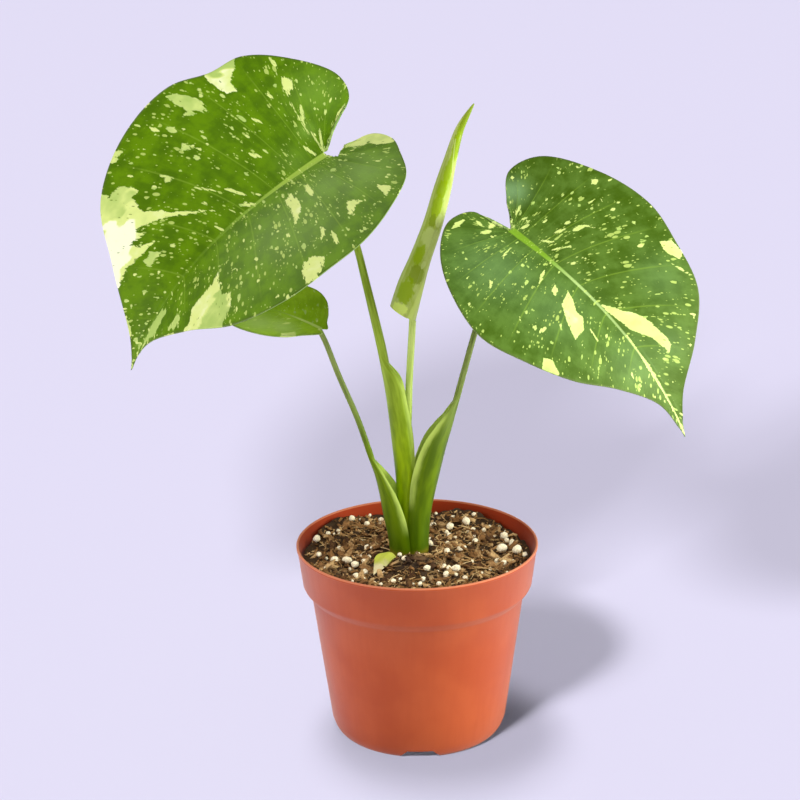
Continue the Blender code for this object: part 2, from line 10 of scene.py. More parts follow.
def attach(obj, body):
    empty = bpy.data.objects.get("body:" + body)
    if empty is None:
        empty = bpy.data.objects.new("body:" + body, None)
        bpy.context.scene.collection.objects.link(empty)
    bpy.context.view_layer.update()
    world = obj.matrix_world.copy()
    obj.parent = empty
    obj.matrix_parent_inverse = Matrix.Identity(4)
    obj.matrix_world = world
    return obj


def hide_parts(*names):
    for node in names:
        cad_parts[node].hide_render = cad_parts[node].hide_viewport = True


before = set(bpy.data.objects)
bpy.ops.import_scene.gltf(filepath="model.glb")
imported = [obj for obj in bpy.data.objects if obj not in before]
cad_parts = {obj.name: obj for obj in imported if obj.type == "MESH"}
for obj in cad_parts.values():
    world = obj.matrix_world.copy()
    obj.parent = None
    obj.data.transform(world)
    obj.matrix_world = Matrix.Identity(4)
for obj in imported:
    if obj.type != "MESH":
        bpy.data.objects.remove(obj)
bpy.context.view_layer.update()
print("frame loaded")

mm = 0.001
uvSpan = 100.0  # millimetres across one UV square

# Where the pot's axis and the crown of the plant stand, in millimetres
plant = {
    "potAxis": (6.7, 12.5),
    "crown": (-3.8, 0.0),
    "stemMouth": 10.6,       # radius of the hole in the mix
    "stemHoleFloor": 56.0,
}


def newGroup(name):
    group = bpy.data.collections.new(name)
    bpy.context.scene.collection.children.link(group)
    return group


def newObject(name, data):
    made = bpy.data.objects.new(name, data)
    bpy.context.scene.collection.objects.link(made)
    return made


# Some lamps light one of these groups only, or cast the shadow of one only
groundGroup, potGroup, leafGroup, mixGroup, pottedPlant = (
    newGroup(name) for name in ("ground", "pot and mix", "plant", "mix", "potted plant"))


def join(piece, slot, node=None):
    pottedPlant.objects.link(piece)
    inMix = slot in ("potting_mix", "dried_scale")
    (potGroup if inMix or slot == "pot_plastic" else leafGroup).objects.link(piece)
    if inMix:
        mixGroup.objects.link(piece)
    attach(piece, "root")
    if node:
        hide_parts(node)
    return piece


# Camera, floor and light

studio = {
    "cameraPlace": (-0.8, -820.6, 431.95),
    "cameraPitch": 17.402,   # degrees below level
    "cameraRoll": -0.791,
    "lens": 81.0,
    "sensor": 36.0,
    "clip": (0.01, 100.0),
    "floorSize": 30.0,       # metres
    "floorColour": (226, 221, 245),
    "worldColour": (0.08, 0.08, 0.084),
    # Suns for the floor alone: where from, share of the floor's light, spread in degrees
    "potSun": ((-0.64, -0.90, 1.0), 0.20, 13.0),
    "topSun": ((-0.12, 0.28, 1.0), 0.21, 16.0),
    "footSun": ((-0.12, 0.06, 1.0), 0.16, 14.0),
    "fillSun": ((0.0, -0.01, 1.0), 0.10, 10.0),
    # Near lamp for the floor alone: place in metres, share of the floor's light, radius
    "nearLamp": ((-0.19, -0.43, 0.545), 0.29, 0.045),
    # Suns for the plant: where from, strength, spread in degrees
    "plantSun": ((-0.1, -0.55, 0.8), 1.3, 40.0),
    "frontSun": ((0.2, -1.0, 0.15), 0.5, 30.0),
    "mixSun": ((-0.3, -0.45, 1.0), 1.2, 12.0),
    # Softboxes for the plant: place, where they point, width and height, power, colour
    "softboxes": {
        "right box": ((0.9, -0.25, 0.3), (0.0, 0.0, 0.10), (0.7, 0.9), 18.0, (0.92, 1.0, 0.9)),
        "left box": ((-0.9, -0.2, 0.2), (0.0, 0.0, 0.08), (0.5, 0.7), 5.0, (1.0, 0.99, 0.97)),
        "back box": ((-0.7, 0.7, 1.15), (0.0, 0.0, 0.25), (0.6, 0.6), 2.5, (1.0, 0.99, 0.97)),
    },
}


def linear(red, green, blue):
    parts = [c / 255 for c in (red, green, blue)]
    return tuple(c / 12.92 if c <= 0.04045 else ((c + 0.055) / 1.055) ** 2.4 for c in parts)


def placeCamera():
    data = bpy.data.cameras.new("camera")
    data.lens = studio["lens"]
    data.sensor_width = studio["sensor"]
    data.clip_start, data.clip_end = studio["clip"]
    camera = newObject("camera", data)
    pitch = math.radians(studio["cameraPitch"])
    roll = math.radians(studio["cameraRoll"])
    right = Vector((1, 0, 0))
    upward = Vector((0, math.sin(pitch), math.cos(pitch)))
    forward = Vector((0, math.cos(pitch), -math.sin(pitch)))
    turned = right * math.cos(roll) + upward * math.sin(roll)
    lifted = upward * math.cos(roll) - right * math.sin(roll)
    basis = Matrix((turned, lifted, -forward)).transposed().to_4x4()
    camera.matrix_world = Matrix.Translation(Vector(studio["cameraPlace"]) * mm) @ basis
    bpy.context.scene.camera = camera


def addLamp(name, kind, lit, shading=None):
    lamp = newObject(name, bpy.data.lights.new(name, kind))
    lamp.light_linking.receiver_collection = lit
    if shading:
        lamp.light_linking.blocker_collection = shading
    return lamp


def addSun(name, fromWay, strength, spread, lit, shading=None):  # soft, and with no hot spot
    lamp = addLamp(name, "SUN", lit, shading)
    lamp.data.energy = strength
    lamp.data.angle = math.radians(spread)
    lamp.rotation_euler = Vector(fromWay).to_track_quat("Z", "Y").to_euler()
    lamp.visible_glossy = False


def addFloorSun(name, shading):
    fromWay, share, spread = studio[name]
    slope = Vector(fromWay).normalized().z
    addSun(name, fromWay, share * math.pi / slope, spread, groundGroup, shading)


def addNearLamp():  # lights the floor evenly, and casts larger shadows than the suns
    place, share, radius = studio["nearLamp"]
    lamp = addLamp("nearLamp", "POINT", groundGroup, pottedPlant)
    lamp.location = place
    lamp.visible_glossy = False
    lamp.data.energy = share * 4 * math.pi**2
    lamp.data.shadow_soft_size = radius
    lamp.data.use_nodes = True
    lamp.data.node_tree.nodes.clear()
    g = Graph(lamp.data.node_tree)
    slope = g.parts(g.node("ShaderNodeTexCoord", output="Normal"))[2]
    even = g.node("ShaderNodeLightFalloff", inputs={"Strength": 1.0}, output="Constant")
    glow = g.node("ShaderNodeEmission", inputs={"Strength": even / slope.one("ABSOLUTE").most(0.02)})
    g.node("ShaderNodeOutputLight", inputs={"Surface": glow})


def addSoftbox(name, place, target, size, power, colour):
    lamp = addLamp(name, "AREA", pottedPlant)
    lamp.location = place
    lamp.rotation_euler = (Vector(place) - Vector(target)).to_track_quat("Z", "Y").to_euler()
    lamp.data.shape = "RECTANGLE"
    lamp.data.size, lamp.data.size_y = size
    lamp.data.energy = power
    lamp.data.color = colour


# Shader and geometry trees

def arithmetic(operation, swapped=False):
    def apply(self, other):
        first, second = (other, self) if swapped else (self, other)
        return self.graph.node("ShaderNodeMath", {"operation": operation}, {0: first, 1: second})
    return apply


class Wire:  # a node's output that takes part in sums
    __add__ = arithmetic("ADD")
    __radd__ = arithmetic("ADD", True)
    __sub__ = arithmetic("SUBTRACT")
    __rsub__ = arithmetic("SUBTRACT", True)
    __mul__ = arithmetic("MULTIPLY")
    __truediv__ = arithmetic("DIVIDE")
    __pow__ = arithmetic("POWER")
    most = arithmetic("MAXIMUM")
    below = arithmetic("LESS_THAN")

    def __init__(self, graph, socket):
        self.graph = graph
        self.socket = socket

    def one(self, operation):
        return self.graph.node("ShaderNodeMath", {"operation": operation}, {0: self})

    def times(self, factors):
        return self.graph.node("ShaderNodeVectorMath", {"operation": "MULTIPLY"}, {0: self, 1: factors})


class Graph:  # a node tree, with one method that adds any node
    def __init__(self, tree):
        self.tree = tree

    def node(self, kind, settings=None, inputs=None, output=0):
        made = self.tree.nodes.new(kind)
        for name, value in (settings or {}).items():
            setattr(made, name, value)
        for name, value in (inputs or {}).items():
            if isinstance(value, Wire):
                self.tree.links.new(value.socket, made.inputs[name])
            else:
                made.inputs[name].default_value = value
        return Wire(self, made.outputs[output]) if made.outputs else None

    def parts(self, vector):
        split = self.node("ShaderNodeSeparateXYZ", inputs={0: vector})
        return [Wire(self, socket) for socket in split.socket.node.outputs]


class Finish(Graph):  # a material with its usual nodes
    def __init__(self, name):
        self.material = bpy.data.materials.new(name)
        self.material.use_nodes = True
        super().__init__(self.material.node_tree)
        self.tree.nodes.clear()

    def attribute(self, name, output="Fac"):
        return self.node("ShaderNodeAttribute", {"attribute_name": name}, output=output)

    def unwrapped(self, name):  # a UV map in millimetres
        return self.node("ShaderNodeUVMap", {"uv_map": name}).times((uvSpan, uvSpan, 1.0))

    def objectPlace(self, scale=(1.0, 1.0, 1.0)):  # in millimetres, times the scale
        return self.node("ShaderNodeTexCoord", output="Object").times(tuple(s / mm for s in scale))

    def clouds(self, vector, scale=1.0, detail=2.0, roughness=0.5):
        inputs = {"Vector": vector, "Scale": scale, "Detail": detail, "Roughness": roughness}
        return self.node("ShaderNodeTexNoise", inputs=inputs, output="Fac")

    def cells(self, vector, scale):  # the distance to a cell's middle, and the cell's own number
        inputs = {"Vector": vector, "Scale": scale}
        found = self.node("ShaderNodeTexVoronoi", inputs=inputs, output="Distance")
        return found, self.parts(Wire(self, found.socket.node.outputs["Color"]))[0]

    def ramp(self, value, low, high, start=0.0, end=1.0):
        inputs = {"Value": value, 1: low, 2: high, 3: start, 4: end}
        return self.node("ShaderNodeMapRange", {"interpolation_type": "SMOOTHSTEP"}, inputs)

    def mix(self, factor, first, second):  # tints are red, green and blue up to 255
        first, second = ((*linear(*c), 1.0) if isinstance(c, tuple) else c for c in (first, second))
        return self.node("ShaderNodeMix", {"data_type": "RGBA"}, {0: factor, 6: first, 7: second}, 2)

    def bump(self, height, strength, distance):
        inputs = {"Height": height, "Strength": strength, "Distance": distance * mm}
        return self.node("ShaderNodeBump", inputs=inputs)

    def surface(self, colour, roughness, normal=None, **constants):
        inputs = {"Base Color": colour, "Roughness": roughness}
        if normal is not None:
            inputs["Normal"] = normal
        for name, value in constants.items():
            inputs[name.replace("_", " ")] = value
        shader = self.node("ShaderNodeBsdfPrincipled", inputs=inputs)
        self.node("ShaderNodeOutputMaterial", inputs={"Surface": shader})
        return self.material


def newTree(name, kinds, output):  # a geometry tree, the names of its inputs and their wires
    tree = bpy.data.node_groups.new(name, "GeometryNodeTree")
    names = {}
    for label, kind in kinds.items():
        socket = tree.interface.new_socket(label, in_out="INPUT", socket_type="NodeSocket" + kind)
        names[label] = socket.identifier
    tree.interface.new_socket(output, in_out="OUTPUT", socket_type="NodeSocketGeometry")
    g = Graph(tree)
    given = {s.name: Wire(g, s) for s in tree.nodes.new("NodeGroupInput").outputs if s.name}
    return g, names, given


def addTree(piece, tree, names, values):
    made = piece.modifiers.new(tree.name, "NODES")
    made.node_group = tree
    for key, value in values.items():
        made[names[key]] = value


# Meshes

def smoothCurve(points, steps):
    p = np.asarray(points, float)
    gaps = np.sqrt(np.linalg.norm(np.diff(p[:, :3], axis=0), axis=1))
    knots = np.concatenate([[0.0], np.cumsum(gaps)])
    slopes = np.diff(p, axis=0) / gaps[:, None]
    tangents = np.zeros_like(p)
    before, after = gaps[:-1, None], gaps[1:, None]
    tangents[1:-1] = (slopes[1:] * before + slopes[:-1] * after) / (before + after)
    tangents[0] = 1.5 * slopes[0] - 0.5 * tangents[1]
    tangents[-1] = 1.5 * slopes[-1] - 0.5 * tangents[-2]
    made = []
    for k in range(len(p) - 1):
        span = knots[k + 1] - knots[k]
        t = np.linspace(0, 1, steps, endpoint=False)[:, None]
        made.append(
            (2 * t**3 - 3 * t**2 + 1) * p[k] + (t**3 - 2 * t**2 + t) * span * tangents[k]
            + (3 * t**2 - 2 * t**3) * p[k + 1] + (t**3 - t**2) * span * tangents[k + 1]
        )
    return np.concatenate(made + [p[-1:]])


def pathReach(path):  # the length of a path up to each of its points
    return np.concatenate([[0.0], np.cumsum(np.linalg.norm(np.diff(path, axis=0), axis=1))])


def evenCurve(points, count):
    fine = smoothCurve(points, 24)
    reach = pathReach(fine)
    wanted = np.linspace(0, reach[-1], count + 1)
    return np.stack([np.interp(wanted, reach, fine[:, k]) for k in range(fine.shape[1])], axis=1)


def meshFrom(name, points, faces, attributes=None, uvs=None):
    mesh = bpy.data.meshes.new(name)
    axis = np.array([*plant["potAxis"], 0.0])
    placed = (np.asarray(points, float) + axis) * mm
    mesh.from_pydata(placed.tolist(), [], [list(map(int, face)) for face in faces])
    for key, values in (attributes or {}).items():
        values = np.asarray(values, np.float32)
        kind = "FLOAT" if values.ndim == 1 else "FLOAT_VECTOR"
        layer = mesh.attributes.new(key, kind, "POINT")
        layer.data.foreach_set("value" if values.ndim == 1 else "vector", values.ravel())
    for key, values in (uvs or {}).items():
        layer = mesh.uv_layers.new(name=key)
        corners = np.empty(len(mesh.loops), np.int32)
        mesh.loops.foreach_get("vertex_index", corners)
        layer.data.foreach_set("uv", np.asarray(values, np.float32)[corners].ravel())
    return mesh


def gridFaces(rows, columns, closed=False, flip=False):
    faces = []
    for i in range(rows - 1):
        for j in range(columns if closed else columns - 1):
            k = (j + 1) % columns
            corners = [i * columns + j, i * columns + k, (i + 1) * columns + k, (i + 1) * columns + j]
            faces.append(corners[::-1] if flip else corners)
    return faces


def tubeFaces(rows, columns):  # a closed grid with both ends covered
    ends = [list(range(columns))[::-1], [(rows - 1) * columns + k for k in range(columns)]]
    return gridFaces(rows, columns, closed=True) + ends


def cleaned(mesh, distance=0.00002, outward=True):
    work = bmesh.new()
    work.from_mesh(mesh)
    bmesh.ops.remove_doubles(work, verts=work.verts, dist=distance)
    bmesh.ops.dissolve_degenerate(work, edges=work.edges, dist=distance / 4)
    bmesh.ops.delete(work, geom=[v for v in work.verts if not v.link_faces], context="VERTS")
    if outward:
        bmesh.ops.recalc_face_normals(work, faces=work.faces)
    work.to_mesh(mesh)
    work.free()
    return mesh


def addPiece(name, mesh, slot, finishes, node=None, sharp=None):
    for finish in finishes:
        mesh.materials.append(finish)
    mesh.shade_smooth()
    if sharp:
        mesh.set_sharp_from_angle(angle=math.radians(sharp))
    return join(bpy.data.objects.new(name, mesh), slot, node)


def bakeModifiers(piece):
    graph = bpy.context.evaluated_depsgraph_get()
    mesh = bpy.data.meshes.new_from_object(piece.evaluated_get(graph))
    piece.modifiers.clear()
    piece.data = mesh


def bakeAndJoin(piece, slot, node=None):
    bakeModifiers(piece)
    bpy.context.scene.collection.objects.unlink(piece)
    return join(piece, slot, node)


def addThickness(piece, thickness, offset):
    solid = piece.modifiers.new("thickness", "SOLIDIFY")
    solid.thickness = thickness * mm
    solid.offset = offset
    return solid


# Leaves

leafRules = {
    "marginSteps": 230,
    "veinSteps": 86,
    "lobeShare": 0.24,       # part of the margin whose veins start at the stalk
    "veinBend": 1.25,
    "veinLean": 1.7,         # how far the side veins lean towards the tip
    "curlSpan": 80.0,
    "thickness": 0.5,
    "sideVeins": 11,
    "quilting": 0.3,
    "midribRise": 0.35,
    "midribWidth": 1.5,
    "inset": 0.33,           # keeps the margin inside the built blade
    "waves": 0.2,
    "waveLengths": (9, 7),   # along and across, over two pi
    "spine": (-0.6, 1.02, 500),  # from and to as shares of the length, and steps
    "leastSteps": (80, 40),
    "insetRamp": 30,         # how soon the inset begins and ends along the margin
    "marginReach": 2.1,      # length of one half's margin as a share of the blade's length
    "ribSpread": 2.5,
    "veinSharpness": 0.7,
    "veinRoom": 12,          # length over which the quilting rises from the midrib
    "edgeDrop": 0.15,
    "fleckLength": (1.0, 2.8, 1.7),
    "fleckWidth": (0.5, 0.2),
    "dabWidth": 1.15,
    "dabTone": (0.15, 0.6),
    "specks": ((0.36, 0.88), (0.6, 0.87), (1.0, 0.91)),  # scale, and the share of cells left out
    "speckGrowth": 0.34 / 0.18,
}
leafShine = {"Specular_Tint": (0.9, 1.0, 0.5, 1.0)}  # green in the leaves' gloss

largeLeaf = {
    "name": "leaf_large_blade",
    "base": (-40.0, -5.0, 291.5), "azimuth": 202.5, "elevation": -27.5, "roll": -17.5,
    "length": 139.0, "arch": 46.0, "lobeDroop": 40.0, "fold": (9.5, 33.0), "curl": (-12.0, -12.0),
    "left": [(-10, 1.5), (-23, 4), (-27, 17), (-23, 33), (-15, 52), (2, 66), (20, 74), (38, 75),
             (61, 72), (84, 58), (102.5, 31), (124, 4.5)],
    "right": [(-13, 11), (-25.5, 20), (-27, 33), (-15, 52), (2, 68), (18, 70), (35, 77), (60, 73),
              (86.5, 57.5), (104, 32), (125, 7)],
    "flecks": 260, "seed": 4, "ragged": 1.0,
    "pocket": [(0.3, -0.4), (-0.6, -2.5), (-1.2, -5), (-2.8, -6.9), (-4.6, -5.6), (-6.8, -3.4),
               (-10.5, -1.2), (-14, 2), (0.3, 2)],
    # Painted sheen: soft lighter areas that stand in for the lamps' soft reflection: middle, radius, amount
    "paintedSheens": [(-6, -34, 15, 1.0), (14, -22, 12, 0.9), (-14, 30, 13, 0.55), (0, 16, 5, 0.7),
               (40, -35, 24, 0.55), (14, 6, 8, 0.4), (70, -45, 14, 0.4)],
    # Tone only: paleness and outline
    "zones": [
        (0.36, [(83, 64), (95, 50), (95, 46), (88, 45), (78, 43), (73, 45), (73, 51), (77, 57)]),
        (1.0, [(96, 48), (90, 45), (84, 36), (89, 30), (96, 28), (104, 26), (114, 22), (106, 39)]),
        (0.2, [(19, 76), (8, 77), (1, 72), (7, 63), (12, 64), (20, 71)]),
        (0.3, [(78, -33), (79, -49), (85, -51), (91, -53), (103, -37), (93, -36), (84, -33)]),
    ],
    # Cream patches: paleness, then the outline as (along, out) with the right half positive
    "patches": [
        (0.6, [(85, 62), (83, 55), (78, 55), (74, 50), (73, 45), (77, 46), (78, 37), (70, 26),
               (56, 11), (71, 24), (79, 30), (86, 34), (85, 29), (92, 31), (90, 26), (83, 22),
               (92, 23), (100, 25), (106, 24), (113, 23), (109, 38)]),
        (0.75, [(20, 76), (21, 65), (18, 55), (14, 53), (14, 56), (12, 61), (7, 65), (3, 75)]),
        (0.35, [(39, 73), (34, 71), (29, 62), (29, 52), (36, 60)]),
        (0.3, [(39, 59), (36, 60), (34, 55)]),
        (0.5, [(51, 80), (45, 80), (45, 75), (48, 76)]),
        (0.4, [(74, 68), (68, 70), (66, 66), (72, 65)]),
        (0.4, [(46, 48), (44, 41), (49, 45)]),
        (0.4, [(62, 43), (59, 37), (63, 38)]),
        (0.4, [(94, 20), (89, 20), (84, 16), (94, 16)]),
        (0.65, [(71, -19), (76, -25), (78, -31), (79, -36), (76, -39), (80, -47), (85, -49),
                (92, -54), (109, -30), (98, -29), (94, -24), (85, -24), (79, -24)]),
        (0.35, [(99, -16), (101, -20), (106, -22), (109, -16)]),
        (0.15, [(106, -1), (103, -6), (115, -8), (125, -2), (116, -1)]),
        (0.6, [(26, -10), (26, -23), (29, -28), (35, -35), (32, -25), (31, -16)]),
        (0.6, [(13, -45), (11, -44), (6, -51), (11, -50), (15, -55), (16, -52)]),
        (0.5, [(-3, -46), (-7, -52), (-2, -57), (-2, -50)]),
        (0.5, [(29, -48), (28, -52), (32, -56), (33, -56)]),
        (0.6, [(49, -66), (45, -61), (41, -61), (37, -67), (43, -73), (51, -74)]),
        (0.5, [(-8, -1), (-12, -7), (-15, -11), (-18, -10), (-19, -16), (-25, -22), (-31, -9),
               (-25, 6), (-13, 6)]),
        (0.6, [(-6, 46), (-8, 44), (-8, 40), (-7, 38), (-3, 36), (-3, 40)]),
    ],
    # Cream streaks: from, to and width
    "streaks": [
        ((56, 27), (49, 17), 1), ((46, 16), (41, 7), 1.5), ((38, 5), (34, 1), 0.7),
        ((46, 5), (40, 0), 1.5), ((28, 23), (24, 17), 1.5), ((17, 37), (14, 31), 1),
        ((118, 13), (125, 6), 2), ((18, -13), (20, -24), 2.5), ((27, -55), (29, -66), 2),
        ((19, -46), (20, -51), 1), ((43, -74), (51, -75), 0.8), ((51, -75), (66, -71), 0.8),
        ((66, -71), (84, -60), 0.8), ((-7, 59), (-7, 53), 1.5), ((4, 43), (3, 39), 1.5),
        ((-2, 33), (-1, 26), 0.7), ((-1, 26), (0, 14), 0.7), ((-5, 29), (-1, 20), 1.5),
        ((-1, 14), (0, 4), 0.7), ((-5, 13), (0, 3), 1), ((6, 10), (4, 3), 1.5),
        ((-20, 17), (-13, 12), 1), ((-8, -59), (-4, -65), 2.5), ((112, -17), (107, -25), 1.5),
    ],
    # Cream dabs that lie along the veins: middle, length and width
    "dabs": [
        (51, 63, 6.5, 1.5), (46, 57, 8, 2), (46, 37, 5, 1.5), (20, 55, 4.5, 1.5),
        (20, 39, 6.5, 1.5), (40, -52, 6, 2), (75, -47, 6.5, 1.5), (-10, 41, 2, 1.5),
        (-15, 35, 2, 1.5), (-26, 31, 2, 2), (-26, 27, 2, 2), (-11, 54, 2.5, 1), (-9, 23, 2.5, 1.5),
        (-12, 19, 4, 1), (-17, 23, 4, 1), (4, -15, 5, 2.5), (19, 4, 1.5, 1.5),
        (-21, -25, 2.5, 1.5), (-10, -49, 1.5, 2), (14, -38, 2, 2), (5, -57, 3, 1),
        (26, 65, 3, 1), (27, 62, 3.5, 1.5), (27, 71, 2.5, 1.5), (43, 69, 2, 1.5), (55, 71, 4, 1),
        (62, 69, 2, 1), (60, 59, 2.5, 1), (58, 53, 2.5, 1), (67, 58, 5, 1), (68, 62, 2, 1),
        (37, 46, 3.5, 1), (38, 43, 4, 1), (39, 39, 2.5, 1), (42, 53, 2.5, 1), (26, 38, 3, 1),
        (28, 34, 2.5, 1), (71, 54, 4.5, 1), (57, 17, 4.5, 1), (50, 5, 4.5, 0.7), (60, 3, 6, 1),
        (74, 17, 2.5, 1), (65, 6, 2.5, 1), (80, 14, 4.5, 1.5), (72, 6, 2.5, 1), (80, 7, 3, 0.7),
        (93, 11, 2.5, 1), (113, 13, 2.5, 1.5), (112, 17, 3, 1), (105, 11, 1.5, 1.5),
        (68, -29, 2.5, 1.5), (58, -42, 3, 1.5), (65, -39, 3, 1.5), (64, -43, 3.5, 1),
        (70, -41, 3, 1), (64, -49, 3.5, 1.5), (56, -17, 3.5, 1), (50, -8, 4.5, 1),
        (47, -18, 5, 1), (41, -38, 5, 1), (37, -58, 2, 1.5), (43, -30, 2.5, 1.5),
        (49, -40, 3, 1), (47, -51, 3, 1), (34, -14, 4, 1), (29, -9, 5, 1), (18, -68, 3, 1.5),
        (60, -71, 4, 1.5), (63, -66, 3.5, 1.5), (69, -64, 2, 1.5),
    ],
}

rightLeaf = {
    "name": "leaf_right_blade",
    "base": (45.5, -5.0, 255.0), "azimuth": 325.5, "elevation": -28.5, "roll": 16.0,
    "length": 129.5, "arch": 44.0, "lobeDroop": 40.0, "fold": (20.5, 5.5), "curl": (-12.0, -12.0),
    "left": [(-6, 6), (-14, 13), (-23, 26), (-18, 43), (8, 56), (35, 59.5), (56, 53.5),
             (77.5, 45.5), (95, 27.5), (111, 8.5), (124, 1.5)],
    "right": [(-7, 3), (-19.5, 4.5), (-22, 20), (-10.5, 41), (9, 57), (36, 66), (57.5, 58),
              (76.5, 44.5), (92, 25), (109.5, 7), (124, 1.8)],
    "flecks": 90, "seed": 9, "ragged": 0.45,
    # Painted sheen: soft lighter areas that stand in for soft reflection: middle, radius, amount
    "paintedSheens": [(-14, -18, 7, 1.6), (14, 28, 22, 0.6), (45, 22, 22, 0.45), (84, 6, 15, 0.4),
               (64, -34, 13, 0.35), (88, -14, 10, 0.4)],
    "patches": [
        (0.6, [(42, 8), (47, 10), (52, 14), (56, 13), (61, 19), (62, 27), (53, 23),
               (45, 17)]),
        (0.6, [(37, 15), (35, 10), (39, 12), (40, 16)]),
        (0.5, [(16, 36), (18, 36), (20, 41)]),
        (0.5, [(-17, 25), (-19, 19), (-18, 13), (-16, 19)]),
        (0.5, [(60, 49), (63, 46), (70, 48), (70, 54), (64, 54)]),
        (0.6, [(10, -47), (8, -49), (11, -52), (12, -48)]),
        (0.6, [(51, -47), (54, -52), (61, -52), (63, -48), (56, -45)]),
        (0.55, [(55, -1), (64, -7), (70, -12), (75, -14), (85, -16), (90, -16), (92, -13), (82, -10),
                (74, -4), (60, -1)]),
    ],
    "streaks": [
        ((31, 17), (27, 8), 1.5), ((-14, 9), (-10, 10), 2), ((-7, 15), (-5, 9), 2),
        ((-7, 8), (-8, 2), 2.5), ((10, 19), (8, 10), 1), ((50, 41), (50, 35), 1.5),
        ((0, -8), (1, -11), 1), ((3, -4), (4, -8), 1.5), ((-4, -8), (-6, -14), 1), ((14, -5), (19, -9), 1),
        ((16, -13), (18, -18), 1.5), ((16, -20), (17, -23), 1.5), ((21, -20), (23, -26), 2.5),
        ((23, -26), (27, -29), 0.7), ((21, -5), (26, -13), 0.7), ((31, -5), (34, -8), 1),
        ((31, -10), (35, -13), 0.7), ((62, -43), (72, -47), 1), ((89, 12), (92, 13), 1),
        ((62, 15), (69, 17), 1), ((74, -0.5), (86, 0), 1), ((86, 0), (105, 0.5), 2),
        ((105, 0.5), (128, 0), 1),
    ],
    "dabs": [
        (13, 44, 2.5, 3), (-2, 12, 3, 2), (3, 10, 2.5, 2), (-14, 31, 2.5, 2), (-3, 33, 2.5, 3),
        (1, 35, 2, 2.5), (-1, 47, 2, 2.5), (11, 12, 2, 2), (19, 15, 3.5, 1.5),
        (21, 13, 2.5, 2), (27, 22, 5, 1.5), (28, 26, 2, 1.5), (25, 35, 1.5, 1.5),
        (39, 37, 3, 1.5), (40, 33, 2.5, 1.5), (39, 42, 2.5, 2), (20, 56, 3.5, 1),
        (23, 61, 2, 1.5), (47, 40, 4.5, 1.5), (57, 39, 3, 1.5), (44, 49, 3, 1.5),
        (31, 64, 2, 1.5), (53, 28, 3, 1), (66, 26, 2, 1.5), (-19, -24, 3, 1.5), (-8, -25, 2, 1.5),
        (-10, -43, 2.5, 1.5), (-5, -41, 3.5, 1.5), (-7, -43, 2.5, 1.5), (-1, -50, 3, 2), (37, -12, 2.5, 0.7),
        (26, -43, 3.5, 1.5), (16, -49, 2.5, 1), (19, -43, 2.5, 1.5), (25, -48, 3, 1), (14, -33, 2.5, 1.5),
        (19, -36, 3, 1), (7, -36, 3, 1), (37, -45, 3, 2), (35, -37, 4, 1.5), (35, -50, 1.5, 1),
        (47, -38, 4.5, 1.5), (46, -41, 4.5, 1), (90, 5, 3.5, 1.5), (96, 12, 3.5, 2), (78, -22, 2, 2),
        (64, -30, 1.5, 1.5), (86, -34, 2, 1.5), (95, -24, 2.5, 1.5), (44, -16, 2, 2), (50, -12, 1.5, 1.5),
    ],
}

smallLeaf = {
    "name": "leaf_small_blade",
    "base": (-44.5, -12.0, 210.5), "azimuth": 158.0, "elevation": 20.0, "roll": -8.0,
    "length": 66.0, "arch": 44.0, "lobeDroop": 40.0, "fold": (4.5, 8.0), "curl": (-12.0, -12.0),
    "left": [(-3, 3), (-1, 8), (3, 14), (8, 22), (17, 28), (29, 28.5), (42, 21), (55, 8)],
    "right": [(-3, 2), (0, 7), (3, 14), (8, 22), (16, 27.5), (28, 27.5), (41, 21), (55, 8)],
    "flecks": 24, "seed": 3, "ragged": 0.6,
    # Painted sheen: soft lighter areas that stand in for soft reflection: middle, radius, amount
    "paintedSheens": [(14, -14, 8, 1.0), (24, -18, 10, 1.0), (36, -14, 8, 0.8)],
    "patches": [(0.6, [(11, -20), (7, -13), (4, -18), (9, -25)])],
    "streaks": [],
    "dabs": [(12, 7, 4.5, 1), (10, 16, 3.5, 1), (12, 16, 1.5, 1), (4, 4, 2.5, 1),
             (14, -9, 6, 1), (16, -14, 2, 2), (25, -26, 2, 1.5)],
}


def bladeFrame(leaf):
    azimuth, elevation, roll = (math.radians(leaf[k]) for k in ("azimuth", "elevation", "roll"))
    along = np.array([
        math.cos(elevation) * math.cos(azimuth), math.cos(elevation) * math.sin(azimuth),
        math.sin(elevation),
    ])
    upright = np.array([0.0, 0.0, 1.0]) - along * along[2]
    upright /= np.linalg.norm(upright)
    normal = upright * math.cos(roll) + np.cross(along, upright) * math.sin(roll)
    return along, normal, np.cross(along, normal)


def bladePoints(leaf, a, b, side):
    along, normal, rightward = bladeFrame(leaf)
    length = leaf["length"]
    low, high, steps = leafRules["spine"]
    reach = np.linspace(low * length, high * length, steps)
    share = np.abs(reach / length)
    dip = np.where(reach > 0, math.radians(leaf["arch"]) * share**1.5,
                   -math.radians(leaf["lobeDroop"]) * share)
    step = reach[1] - reach[0]
    forward = np.cumsum(np.cos(dip)) * step
    down = np.cumsum(np.sin(dip)) * step
    forward -= np.interp(0, reach, forward)
    down -= np.interp(0, reach, down)
    dipHere = np.interp(a, reach, dip)[..., None]
    lifted = np.cos(dipHere) * normal + np.sin(dipHere) * along
    fold, curl = (math.radians(leaf[k][0 if side < 0 else 1]) for k in ("fold", "curl"))
    curl /= leafRules["curlSpan"]
    out = (np.sin(fold + curl * b) - math.sin(fold)) / curl
    up = (math.cos(fold) - np.cos(fold + curl * b)) / curl
    spine = np.array(leaf["base"]) + np.interp(a, reach, forward)[..., None] * along
    spine = spine - np.interp(a, reach, down)[..., None] * normal
    return spine + side * out[..., None] * rightward + up[..., None] * lifted, lifted


